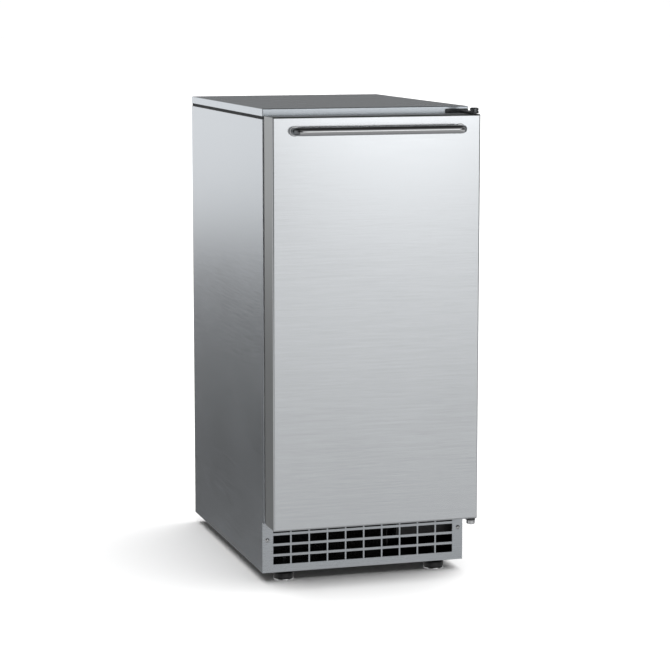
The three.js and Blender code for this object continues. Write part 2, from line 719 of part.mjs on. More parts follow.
// ---------------------------------------------------------------- freezing unit in the bin
function buildHousing() {
  const cheekY = [MODULE_FRONT, moduleBack];
  const parts = [-1, 1].flatMap((sign) => {
    const span = (a, b) => [Math.min(sign * a, sign * b), Math.max(sign * a, sign * b)];
    return [
      block(span(cheekIn, cheekOut), cheekY, [moduleLow, moduleTop]),
      block(span(cheekIn - LEDGE - 6, cheekIn + 1), [sumpFront, moduleBack], [moduleLow, moduleLow + CHEEK]),
      block(
        span(cheekIn - 2 * LEDGE, cheekIn + 1),
        [cupFrontY - CUP_PITCH / 2, moduleBack],
        [plateUnder - GAP - CHEEK, plateUnder - GAP],
      ),
    ];
  });
  const rearWall = block(
    [-cheekOut, cheekOut],
    [moduleBack - CHEEK, moduleBack],
    [moduleLow, plateUnder - GAP],
  );
  const pinHole = bar("x", CURTAIN_PIN + 2 * GAP, [-cheekOut - 1, cheekOut + 1], [curtainY, curtainZ]);
  piece("evaporator_housing", cut(join(...parts, rearWall), pinHole), whitePlastic);
}

function buildEvaporator() {
  const plateX = cheekIn - LEDGE - 1;
  const place = (c, r) => [(c - (cupColumns - 1) / 2) * CUP_PITCH, cupFrontY + r * CUP_PITCH];
  const cups = grid(cupColumns, cupRows, (c, r) =>
    bar("z", CUP_OUTER, [cupUnder, plateUnder + 1], place(c, r), 8),
  );
  const hollows = grid(cupColumns, cupRows, (c, r) =>
    bar("z", CUP_OUTER - 2 * CUP_WALL, [cupUnder - 1, plateUnder - CUP_WALL], place(c, r), 8),
  );
  const plate = block(
    [-plateX, plateX],
    [cupFrontY - CUP_PITCH / 2, cupBackY + CUP_PITCH / 2],
    [plateUnder, plateTop],
  );
  piece("evaporator", cut(join(plate, ...cups), ...hollows), tinned);

  const run = cupSpanX;
  const corners = [[feedX, cupBackY + CUP_PITCH, coilZ], [feedX, cupFrontY, coilZ]];
  for (let r = 0; r < cupRows; r++) {
    const y = cupFrontY + r * CUP_PITCH;
    const ends = r % 2 ? [run, suctionX] : [suctionX, run];
    if (r > 0) corners.push([ends[0], y, coilZ]);
    corners.push([ends[1], y, coilZ]);
  }
  corners.push([suctionX, cupBackY + CUP_PITCH, coilZ]);
  piece("evaporator_coil", pipe(corners, COIL_TUBE, 16), copper);
}

function buildSpray() {
  const sump = cut(
    block([-sumpHalf, sumpHalf], [sumpFront, sumpBack], [sumpFloor, sumpTop]),
    block(
      [-sumpHalf + SUMP_WALL, sumpHalf - SUMP_WALL],
      [sumpFront + SUMP_WALL, sumpBack - SUMP_WALL],
      [sumpFloor + SUMP_WALL, sumpTop + 1],
    ),
  );
  piece("water_sump", sump, whitePlastic);

  const nozzle = (c, r) => {
    const x = (c - (cupColumns - 1) / 2) * CUP_PITCH;
    const tip = new THREE.CylinderGeometry(1.6, 3.4, NOZZLE_HEIGHT, 5).rotateX(Math.PI / 2);
    return tip.translate(x, cupFrontY + r * CUP_PITCH, sprayZ + NOZZLE_HEIGHT / 2 + 1);
  };
  const crossPipes = Array.from({ length: cupRows }, (_, r) =>
    bar("x", SPRAY_PIPE, [-cupSpanX - 12, cupSpanX + 12], [cupFrontY + r * CUP_PITCH, sprayZ], 8),
  );
  const feedEnds = [cupFrontY - 12, pumpY - VOLUTE / 2 - 2];
  const feedPipe = bar("y", SPRAY_PIPE + 2, feedEnds, [CUP_PITCH / 2, sprayZ], 8);
  piece("spray_bar", join(feedPipe, ...crossPipes, ...grid(cupColumns, cupRows, nozzle)), greyPlastic);

  // Slats that slope down to the front, between the rows of nozzles, so that cubes slide to the curtain.
  const slatFront = curtainY + 14;
  const slatBack = cupBackY + CUP_PITCH / 2;
  const slatLow = sprayZ + NOZZLE_HEIGHT - 2;
  const slatHigh = cupUnder - 8;
  const slatShape = new THREE.Shape([
    new THREE.Vector2(slatFront, slatLow),
    new THREE.Vector2(slatBack, slatHigh - 6),
    new THREE.Vector2(slatBack, slatHigh),
    new THREE.Vector2(slatFront, slatLow + 6),
  ]);
  const slat = (x) => {
    const made = new THREE.ExtrudeGeometry(slatShape, { depth: CHUTE_BAR, bevelEnabled: false });
    return made.rotateX(Math.PI / 2).rotateZ(Math.PI / 2).translate(x - CHUTE_BAR / 2, 0, 0);
  };
  const slats = Array.from({ length: cupColumns + 1 }, (_, i) => slat((i - cupColumns / 2) * CUP_PITCH));
  const rodX = (cupColumns / 2) * CUP_PITCH + 12;
  const rods = [
    bar("x", 5, [-rodX, rodX], [slatFront + 4, slatLow + 3], 8),
    bar("x", 5, [-rodX, rodX], [slatBack - 5, slatHigh - 3.5], 8),
  ];
  piece("cube_chute", join(...slats, ...rods), clearBlue);
}

function buildPump() {
  const motorLow = sprayZ + 20;
  const voluteLow = sumpFloor + SUMP_WALL + 6;
  const voluteTop = voluteLow + 22;
  const shaft = 6;
  const body = cut(
    join(
      bar("z", PUMP_MOTOR, [motorLow, motorLow + 46], [0, 0], 24),
      bar("z", 18, [voluteTop - 1, motorLow + 1], [0, 0], 16),
      bar("z", VOLUTE, [voluteLow, voluteTop], [0, 0], 24),
    ),
    bar("z", VOLUTE - 5, [voluteLow - 1, voluteTop - 3], [0, 0], 24),
    bar("z", shaft + 2, [voluteLow - 1, motorLow + 20], [0, 0], 16),
  );
  piece("pump_motor", body, blackPlastic, [pumpX, pumpY, 0]);

  const vane = block([-IMPELLER / 2, IMPELLER / 2], [-1.2, 1.2], [voluteLow + 2, voluteLow + 12]);
  const vanes = Array.from({ length: 4 }, (_, i) => vane.clone().rotateZ((i * Math.PI) / 4));
  const impeller = join(
    bar("z", shaft, [voluteLow + 2, motorLow + 18], [0, 0], 12),
    bar("z", IMPELLER, [voluteLow + 11, voluteLow + 14], [0, 0], 20),
    ...vanes,
  );
  piece("pump_impeller", impeller, greyPlastic, [pumpX, pumpY, 0]);

  const stem = 5;
  const floatX = -sumpHalf + 34;
  const floatLow = sumpFloor + SUMP_WALL + 2;
  const stemTop = sumpTop + 26;
  const arm = block([-cheekIn + GAP, floatX + 6], [-6, 6], [stemTop - 3, stemTop]);
  const stemBar = bar("z", stem, [floatLow, stemTop - 1], [floatX, 0], 12);
  piece("float_stem", join(arm, stemBar), greyPlastic, [0, pumpY, 0]);
  const floatRing = cut(
    bar("z", FLOAT, [0, 15], [0, 0], 20),
    bar("z", stem + 1, [-1, 16], [0, 0], 12),
  );
  piece("float_switch", floatRing, whitePlastic, [floatX, pumpY, floatLow + 1]);
}

function buildCurtain() {
  const half = cheekIn - 4;
  const slotPitch = (2 * half) / CURTAIN_SLOTS;
  const slots = Array.from({ length: CURTAIN_SLOTS }, (_, i) => {
    const x = (i + 0.5) * slotPitch - half;
    return block([x - 4, x + 4], [-9, 9], [-CURTAIN_HEIGHT + 12, -CURTAIN_HEIGHT + 52]);
  });
  const flap = block([-half, half], [-CURTAIN_THICKNESS / 2, CURTAIN_THICKNESS / 2], [-CURTAIN_HEIGHT, 0]);
  const barrel = bar("x", CURTAIN_BARREL, [-half, half], [0, 0], 12);
  const pins = bar("x", CURTAIN_PIN, [-cheekOut, cheekOut], [0, 0], 12);
  const curtain = join(cut(flap, ...slots), barrel, pins);
  piece("ice_curtain", curtain, clearBlue, [0, curtainY, curtainZ]);
}

function buildScoop() {
  const outline = (grow) => {
    const shape = new THREE.Shape();
    const half = SCOOP_WIDTH / 2 + grow;
    const depth = SCOOP_DEPTH + grow;
    const round = 14;
    shape.moveTo(depth, -half);
    shape.lineTo(round - grow, -half);
    shape.absarc(round - grow, -half + round, round, -Math.PI / 2, -Math.PI, true);
    shape.lineTo(-grow, half - round);
    shape.absarc(round - grow, half - round, round, Math.PI, Math.PI / 2, true);
    shape.lineTo(depth, half);
    return shape;
  };
  const bowl = (grow, z0, z1) => {
    const options = { depth: z1 - z0, curveSegments: 5, bevelEnabled: false };
    return new THREE.ExtrudeGeometry(outline(grow), options).translate(0, 0, z0);
  };
  const hollow = bowl(-SCOOP_WALL, -1, SCOOP_LENGTH - SCOOP_WALL);
  const mouthReach = SCOOP_WIDTH / 2 - SCOOP_WALL;
  const mouth = block(
    [SCOOP_DEPTH - SCOOP_WALL - 1, SCOOP_DEPTH + 1],
    [-mouthReach, mouthReach],
    [-1, SCOOP_LENGTH - SCOOP_WALL],
  );
  const handle = turned([
    [0, SCOOP_LENGTH - 1],
    [8, SCOOP_LENGTH - 1],
    [9.5, SCOOP_LENGTH + SCOOP_HANDLE * 0.45],
    [11, SCOOP_LENGTH + SCOOP_HANDLE - 8],
    [7, SCOOP_LENGTH + SCOOP_HANDLE],
    [0, SCOOP_LENGTH + SCOOP_HANDLE],
  ], 16).translate(14, 0, 0);
  const scoop = join(cut(bowl(0, 0, SCOOP_LENGTH), hollow, mouth), handle);
  piece("ice_scoop", scoop, clearBlue, [scoopX, scoopY, holderZ]);

  const wall = SCOOP_WALL;
  const roomX = [scoopX - 1, scoopX + SCOOP_DEPTH + 1];
  const roomY = [scoopY - SCOOP_WIDTH / 2 - 1, scoopY + SCOOP_WIDTH / 2 + 1];
  const holderTop = holderZ + HOLDER_DEPTH;
  const holder = cut(
    block(
      [-binHalf + GAP, roomX[1] + wall],
      [roomY[0] - wall, roomY[1] + wall],
      [holderZ - GAP - wall, holderTop],
    ),
    block(roomX, roomY, [holderZ - GAP, holderTop + 1]),
    bar("z", 12, [holderZ - 9, holderZ + 9], [scoopX + SCOOP_DEPTH / 2, scoopY], 12),
  );
  piece("scoop_holder", holder, whitePlastic);
}

// ---------------------------------------------------------------- refrigeration unit
const legX = COMPRESSOR_RADIUS * 0.86;
const legY = COMPRESSOR_RADIUS * 0.66;

function buildCompressor() {
  const r = COMPRESSOR_RADIUS;
  const h = COMPRESSOR_HEIGHT;
  const can = turned([
    [0, 0],
    [r * 0.8, 0],
    [r * 0.94, h * 0.08],
    [r * 0.97, h * 0.48],
    [r, h * 0.49],
    [r, h * 0.53],
    [r * 0.95, h * 0.54],
    [r * 0.9, h * 0.8],
    [r * 0.7, h * 0.95],
    [r * 0.35, h],
    [0, h],
  ]).scale(COMPRESSOR_STRETCH, 1, 1);
  const plate = block([-legX, legX], [-legY, legY], [-3, 1]);
  const legs = [-1, 1].flatMap((sx) =>
    [-1, 1].map((sy) =>
      bar("z", 20, [panFloor + GAP - compressorZ, -2], [sx * (legX - 13), sy * (legY - 13)], 12),
    ),
  );
  piece("compressor", join(can, plate, ...legs), blackPaint, [compressorX, compressorY, compressorZ]);

  const coverX = -r * COMPRESSOR_STRETCH - GAP;
  const cover = block([coverX - COVER_REACH, coverX], [-26, 26], [h * 0.3, h * 0.75]);
  piece("compressor_terminal_cover", cover, blackPlastic, [compressorX, compressorY, compressorZ]);
}

const condenserRowZ = (i) => condenserLow + ((i + 0.5) * condenserHeight) / TUBE_ROWS;

function buildCondenser() {
  const z = [condenserLow, condenserLow + condenserHeight];
  const pitch = (condenserRight - condenserLeft - SHEET) / (FINS - 1);
  const fins = Array.from({ length: FINS }, (_, i) => {
    const x = condenserLeft + i * pitch;
    return block([x, x + SHEET], [condenserFront, condenserBack], z);
  });
  const tubes = Array.from({ length: TUBE_ROWS }, (_, i) => {
    const [y, tubeZ] = [condenserMiddle, condenserRowZ(i)];
    return block([condenserLeft - 5, condenserRight + 5], [y - 5, y + 5], [tubeZ - 5, tubeZ + 5]);
  });
  piece("condenser", join(...fins, ...tubes), aluminium);

  const opening = 2 * (FAN_RADIUS + FAN_TIP_GAP);
  const plateY = [condenserBack + GAP, shroudBack];
  const shroud = cut(
    join(
      block([condenserLeft, condenserRight], plateY, [panFloor + GAP, z[1]]),
      bar("y", opening + 2 * SHEET, [plateY[0], shroudBack + 20], [condenserX, fanZ], 32),
    ),
    bar("y", opening, [plateY[0] - 1, shroudBack + 21], [condenserX, fanZ], 32),
  );
  piece("fan_shroud", shroud, galvanised);

  const blade = (i) => {
    const flat = block([8, FAN_RADIUS], [-1, 1], [-15, 15]).rotateX(0.6);
    return flat.rotateY((i * 2 * Math.PI) / FAN_BLADES);
  };
  const blades = Array.from({ length: FAN_BLADES }, (_, i) => blade(i));
  const fan = join(
    bar("y", 30, [-9, 9], [0, 0], 20),
    bar("y", 6, [8, motorFront - shroudBack + 3], [0, 0], 12),
    ...blades,
  );
  piece("fan_blade", fan, blackPlastic, [condenserX, shroudBack + 15, fanZ]);

  const motor = cut(
    bar("y", 72, [motorFront, motorFront + 48], [condenserX, fanZ], 24),
    bar("y", 7, [motorFront - 1, motorFront + 30], [condenserX, fanZ], 12),
  );
  piece("fan_motor", motor, blackPaint);

  const armZ = FAN_RADIUS + FAN_TIP_GAP + SHEET + 1.5;
  const rearY = motorFront + 48 + GAP;
  const arms = [-1, 1].map((sign) => {
    const zSpan = [fanZ + sign * armZ - 1, fanZ + sign * armZ + 1];
    return block([condenserX - 8, condenserX + 8], [shroudBack + GAP, rearY + 2], zSpan);
  });
  const strap = block([condenserX - 8, condenserX + 8], [rearY, rearY + 2], [fanZ - armZ, fanZ + armZ]);
  piece("fan_bracket", join(strap, ...arms), galvanised);
}

function buildControls() {
  const z = [boxLow, boxLow + CONTROL_BOX_HEIGHT];
  const x = [boxLeft, boxLeft + CONTROL_BOX_WIDTH];
  const y = [boxFront, boxBack];
  const box = cut(
    block(x, y, z),
    block([rockerX - 7.5, rockerX + 7.5], [boxFront - 1, boxFront + 14], [rockerZ - 12.5, rockerZ + 12.5]),
  );
  piece("control_box", box, galvanised);

  const shape = new THREE.Shape([
    new THREE.Vector2(7, -10),
    new THREE.Vector2(7, 10),
    new THREE.Vector2(-4.5, 9.5),
    new THREE.Vector2(-1.5, 0),
    new THREE.Vector2(-1.5, -9.5),
  ]);
  const rocker = new THREE.ExtrudeGeometry(shape, { depth: 13, bevelEnabled: false });
  rocker.rotateX(Math.PI / 2).rotateZ(Math.PI / 2).translate(-6.5, 0, 0);
  piece("power_rocker", rocker, blackPlastic, [rockerX, boxFront + 1, rockerZ]);
}

// How far the compressor's can reaches from its middle along Y, at a distance along X.
const canReach = (dx) =>
  COMPRESSOR_RADIUS * Math.sqrt(1 - (dx / (COMPRESSOR_RADIUS * COMPRESSOR_STRETCH)) ** 2);

function buildPlumbing() {
  const underDeck = deckUnder - 22;
  const stubZ = compressorZ + COMPRESSOR_HEIGHT * 0.62;
  const stubX = 34; // from the can's middle
  const coilEnd = cupBackY + CUP_PITCH + GAP;
  const stubBack = compressorY + canReach(stubX) + GAP;
  const suction = [
    [suctionX, coilEnd, coilZ],
    [suctionX, chaseY, coilZ],
    [suctionX, chaseY, underDeck],
    [compressorX - stubX, chaseY, underDeck],
    [compressorX - stubX, chaseY, stubZ],
    [compressorX - stubX, stubBack, stubZ],
  ];
  piece("suction_tube", pipe(suction, COPPER_TUBE, 18), copper);

  const canFront = compressorY - COMPRESSOR_RADIUS;
  const drierY = canFront - 10;
  const drierZ = [panFloor + 30, panFloor + 122];
  const drier = turned([
    [0, drierZ[0]],
    [3.5, drierZ[0]],
    [4, drierZ[0] + 8],
    [10, drierZ[0] + 16],
    [10, drierZ[1] - 16],
    [4, drierZ[1] - 8],
    [3.5, drierZ[1]],
    [0, drierZ[1]],
  ], 16);
  piece("filter_drier", drier, copper, [feedX, drierY, 0]);

  const feed = [
    [feedX, coilEnd, coilZ],
    [feedX, chaseY, coilZ],
    [feedX, chaseY, underDeck - 8],
    [feedX, drierY, underDeck - 8],
    [feedX, drierY, drierZ[1] + GAP],
  ];
  piece("feed_tube", pipe(feed, CAPILLARY, 14), copper);

  const outX = condenserLeft - CAPILLARY / 2 - 1;
  const liquid = [
    [outX, condenserMiddle + 5 + GAP, condenserRowZ(0)],
    [outX, drierY - 40, condenserRowZ(0)],
    [feedX, drierY - 40, panFloor + 12],
    [feedX, drierY, panFloor + 12],
    [feedX, drierY, drierZ[0] - GAP],
  ];
  piece("liquid_tube", pipe(liquid, CAPILLARY, 12), copper);

  const inX = condenserRight + 5 + GAP + COPPER_TUBE / 2;
  const topRow = condenserRowZ(TUBE_ROWS - 1);
  const discharge = [
    [inX, condenserMiddle, topRow],
    [inX, boxBack + 20, topRow],
    [compressorX + stubX, boxBack + 20, topRow],
    [compressorX + stubX, canFront - 26, topRow],
    [compressorX + stubX, canFront - 26, stubZ],
    [compressorX + stubX, compressorY - canReach(stubX) - GAP, stubZ],
  ];
  piece("discharge_tube", pipe(discharge, COPPER_TUBE, 16), copper);
}

function buildWater() {
  const bodyY = insideBack - 15;
  const valve = join(
    bar("y", 28, [insideBack - 4, back + FITTING_REACH], [valveX, valveZ]),
    block([valveX - 17, valveX + 17], [bodyY - 13, bodyY + 13], [valveZ - 17, valveZ + 17]),
    bar("z", 24, [valveZ + 15, valveZ + 44], [valveX, bodyY], 16),
  );
  const bored = cut(valve, bar("y", 18, [back - 2, back + FITTING_REACH + 1], [valveX, valveZ], 16));
  piece("water_inlet_valve", bored, blackPlastic);

  const spoutY = moduleBack - 30;
  const riserX = valveX - 32;
  const overCan = deckUnder - 8;
  const fill = [
    [valveX - 17 - GAP, chaseY, valveZ],
    [riserX, chaseY, valveZ],
    [riserX, chaseY, overCan],
    [waterX, chaseY, overCan],
    [waterX, chaseY, coilZ],
    [waterX, spoutY, coilZ],
    [waterX, spoutY, coilZ - 22],
  ];
  piece("water_fill_tube", pipe(fill, WATER_TUBE, 12), whitePlastic);

  const elbow = (inlet, outlet) => [
    [drainX, drainY, inlet],
    [drainX, drainY, drainOutletZ],
    [drainX, outlet, drainOutletZ],
  ];
  const outlet = back + FITTING_REACH;
  const drain = cut(
    pipe(elbow(binFloor - 1, outlet), DRAIN_TUBE, 26, { quarter: 3 }),
    pipe(elbow(binFloor + 1, outlet + 1), DRAIN_TUBE - 5, 26, { quarter: 3 }),
  );
  piece("drain_tube", drain, greyPlastic);

  const shell = (grow, y) =>
    block([cordX - 16 - grow, cordX + 16 + grow], y, [cordZ - 11 - grow, cordZ + 11 + grow]);
  const inlet = cut(
    join(shell(-GAP, [back - 24, back + 2]), shell(4, [back + GAP, back + 3])),
    shell(-4, [back - 14, back + 4]),
  );
  piece("power_inlet", inlet, blackPlastic);
}

buildShell();
buildBin();
buildToe();
buildHinges();
buildDoor();
buildHandle();
buildHousing();
buildEvaporator();
buildSpray();
buildPump();
buildCurtain();
buildScoop();
buildCompressor();
buildCondenser();
buildControls();
buildPlumbing();
buildWater();

// The origin is on the floor, in the middle of the whole machine's box.
const handleFront = doorFace - HANDLE_STANDOFF - HANDLE_ROD / 2;
machine.position.y = -(handleFront + back + FITTING_REACH) / 2;

export default machine;
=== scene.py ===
"""Looks of an undercounter ice maker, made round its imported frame.

Metres, +X to the right of someone facing the door, -Y towards that person, +Z up.
Places come from the frame's own boxes. MM turns millimetres into metres.
"""

import math

import bpy
import numpy as np
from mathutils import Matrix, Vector


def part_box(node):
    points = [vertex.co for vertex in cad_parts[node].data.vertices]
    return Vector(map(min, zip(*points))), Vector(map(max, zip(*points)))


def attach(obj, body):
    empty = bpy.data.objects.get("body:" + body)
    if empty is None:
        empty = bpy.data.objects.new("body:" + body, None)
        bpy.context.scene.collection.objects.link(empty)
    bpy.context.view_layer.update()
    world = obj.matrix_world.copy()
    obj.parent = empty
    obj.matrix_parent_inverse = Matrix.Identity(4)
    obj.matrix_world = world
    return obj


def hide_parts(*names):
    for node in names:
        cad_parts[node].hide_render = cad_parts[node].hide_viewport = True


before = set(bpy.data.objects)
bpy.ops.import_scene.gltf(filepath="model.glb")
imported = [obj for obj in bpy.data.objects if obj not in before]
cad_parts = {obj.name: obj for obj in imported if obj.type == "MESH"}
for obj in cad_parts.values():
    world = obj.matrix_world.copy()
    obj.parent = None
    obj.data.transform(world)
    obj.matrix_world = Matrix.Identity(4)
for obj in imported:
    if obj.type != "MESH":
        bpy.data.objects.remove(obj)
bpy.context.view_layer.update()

MM = 0.001
SHEET = 1.2 * MM  # steel sheet
LINER_WALL = 2.5 * MM
LINER_LIP = 8 * MM  # flange round the bin's mouth
SILL = 25 * MM  # the mouth's lower edge above the liner's floor
JAMB = 36.2 * MM  # the collar's width at each side of the mouth
HEADER = 33.5 * MM  # the collar's height over the mouth
AXES = {"x": (1, 2, 0), "y": (2, 0, 1), "z": (0, 1, 2)}  # the two axes across, then the one along


# ---------------------------------------------------------------- camera, light and floor
CAMERA_PLACE = (-1.2246, -4.0924, 1.0407)
CAMERA_YAW = 0.2929  # towards +X
CAMERA_PITCH = 0.1458  # downwards
CAMERA_LENS = 123.4  # for a 36 mm wide sensor


def make_camera():
    data = bpy.data.cameras.new("camera")
    data.lens = CAMERA_LENS
    data.sensor_width = 36
    camera = bpy.data.objects.new("camera", data)
    camera.location = CAMERA_PLACE
    camera.rotation_euler = (math.pi / 2 - CAMERA_PITCH, 0, -CAMERA_YAW)
    bpy.context.scene.collection.objects.link(camera)
    bpy.context.scene.camera = camera


def overhead_light():
    """A very large soft lamp overhead, a little in front and to the right."""
    data = bpy.data.lights.new("overhead", "SUN")
    data.energy = 4.7
    data.angle = math.radians(100)
    light = bpy.data.objects.new("overhead", data)
    light.rotation_euler = Vector((-0.22, 0.08, -1.0)).to_track_quat("-Z", "Y").to_euler()
    light.visible_glossy = False
    bpy.context.scene.collection.objects.link(light)


BRIGHTEST = 2.5
# How bright the room is at heights from straight down (-1) to straight up (1), and the screens and
# flags in it. Each has a direction, the cosines where it starts and is full, and its own levels.
ROOM = (
    (-1, 0.30), (-0.62, 0.34), (-0.45, 0.72), (-0.30, 0.50), (-0.05, 0.56), (0.15, 0.60),
    (0.35, 0.36), (0.60, 0.12), (0.80, 0.03),
)
FRONT_SCREEN = (
    (-1, 0.40), (-0.70, 0.40), (-0.55, 0.06), (-0.40, 0.10), (-0.23, 0.60), (-0.19, 0.50),
    (-0.14, 0.77), (-0.11, 0.78), (-0.07, 0.66), (0.30, 0.70), (0.44, 0.03),
)
FRONT_GLOW = (
    (-1, 0.40), (-0.70, 0.40), (-0.55, 0.06), (-0.40, 0.10), (-0.23, 1.10), (-0.19, 1.02),
    (-0.14, 1.75), (-0.11, 1.92), (-0.07, 1.78), (0.30, 1.72), (0.44, 0.03),
)
LEFT_SCREEN = (
    (-1, 0.30), (-0.65, 0.30), (-0.50, 0.05), (-0.32, 0.02), (-0.20, 0.08), (-0.12, 0.22),
    (-0.088, 0.92), (0.15, 0.97), (0.40, 0.20),
)
RIGHT_SCREEN = ((-1, 0.60), (-0.20, 0.50), (-0.02, 0.50), (0.03, 0.25), (0.35, 0.23), (0.60, 0.05))
DARK_FLAG = ((-1, 0.35), (-0.30, 0.45), (-0.15, 0.40), (-0.10, 0.04), (0.60, 0.04))
SCREENS = (
    ((0.29, -0.957, 0.0), (0.80, 0.97), FRONT_SCREEN),
    ((0.318, -0.948, 0.0), (0.9945, 0.99997), FRONT_GLOW),
    ((-0.27, 0.963, 0.0), (0.93, 0.985), LEFT_SCREEN),
    ((0.29, 0.957, 0.1), (0.88, 0.98), RIGHT_SCREEN),
    ((-0.75, -0.66, 0.0), (0.80, 0.94), DARK_FLAG),
    ((0.90, -0.436, 0.0), (0.86, 0.95), DARK_FLAG),
)


def make_room():
    """World brightness: the room's level by height, mixed towards each screen's where that reaches."""
    world = bpy.data.worlds.new("studio")
    bpy.context.scene.world = world
    world.use_nodes = True
    tree = world.node_tree
    link = tree.links.new
    direction = tree.nodes.new("ShaderNodeTexCoord").outputs["Generated"]
    parts = tree.nodes.new("ShaderNodeSeparateXYZ")
    link(direction, parts.inputs[0])

    def ranged(source, low, high):
        made = tree.nodes.new("ShaderNodeMapRange")
        link(source, made.inputs["Value"])
        made.inputs["From Min"].default_value = low
        made.inputs["From Max"].default_value = high
        return made

    def levels(stops):
        made = tree.nodes.new("ShaderNodeValToRGB")
        link(ranged(parts.outputs["Z"], -1, 1).outputs[0], made.inputs[0])
        ramp = made.color_ramp
        for _ in stops[2:]:
            ramp.elements.new(0.5)
        for element, (height, level) in zip(ramp.elements, stops):
            element.position = (height + 1) / 2
            element.color = (level / BRIGHTEST, level / BRIGHTEST, level / BRIGHTEST, 1)
        return made.outputs["Color"]

    total = levels(ROOM)
    for facing, (edge, full), stops in SCREENS:
        towards = tree.nodes.new("ShaderNodeVectorMath")
        towards.operation = "DOT_PRODUCT"
        link(direction, towards.inputs[0])
        towards.inputs[1].default_value = facing
        reach = ranged(towards.outputs["Value"], edge, full)
        reach.interpolation_type = "SMOOTHSTEP"
        blend = tree.nodes.new("ShaderNodeMix")
        blend.data_type = "RGBA"
        link(reach.outputs[0], blend.inputs["Factor"])
        link(total, blend.inputs["A"])
        link(levels(stops), blend.inputs["B"])
        total = blend.outputs["Result"]
    background = tree.nodes["Background"]
    link(total, background.inputs["Color"])
    background.inputs["Strength"].default_value = BRIGHTEST
    bpy.context.scene.view_settings.view_transform = "Standard"


def make_backdrop():
    """A far white wall all round, seen behind the object but neither reflected nor lighting it."""
    reach, tall, steps = 55.0, 60.0, 64
    turn = np.linspace(0, 2 * math.pi, steps, endpoint=False)
    ring = np.stack([reach * np.cos(turn), reach * np.sin(turn)], -1)
    points = np.concatenate([np.c_[ring, np.full(steps, -1.0)], np.c_[ring, np.full(steps, tall)]])
    here = np.arange(steps)
    after = (here + 1) % steps
    faces = np.stack([here, here + steps, after + steps, after], -1)
    mesh = bpy.data.meshes.new("backdrop")
    mesh.from_pydata(points.tolist(), [], faces.tolist())
    wall = bpy.data.objects.new("backdrop", mesh)
    bpy.context.scene.collection.objects.link(wall)
    glow = bpy.data.materials.new("white_wall")
    glow.use_nodes = True
    shader = glow.node_tree.nodes["Principled BSDF"]
    shader.inputs["Base Color"].default_value = (0, 0, 0, 1)
    shader.inputs["Emission Color"].default_value = (1, 1, 1, 1)
    shader.inputs["Emission Strength"].default_value = 1.0
    mesh.materials.append(glow)
    for ray in ("diffuse", "glossy", "transmission", "shadow", "volume_scatter"):
        setattr(wall, "visible_" + ray, False)


def make_floor():
    reach = 60.0
    corners = [(-reach, -reach, 0), (reach, -reach, 0), (reach, reach, 0), (-reach, reach, 0)]
    mesh = bpy.data.meshes.new("floor")
    mesh.from_pydata(corners, [], [(0, 1, 2, 3)])
    floor = bpy.data.objects.new("floor", mesh)
    bpy.context.scene.collection.objects.link(floor)
    paint = bpy.data.materials.new("pale_floor")
    paint.use_nodes = True
    shader = paint.node_tree.nodes["Principled BSDF"]
    shader.inputs["Base Color"].default_value = (0.93, 0.93, 0.93, 1)
    shader.inputs["Roughness"].default_value = 0.9
    shader.inputs["Specular IOR Level"].default_value = 0.1
    mesh.materials.append(paint)
    floor.visible_glossy = False


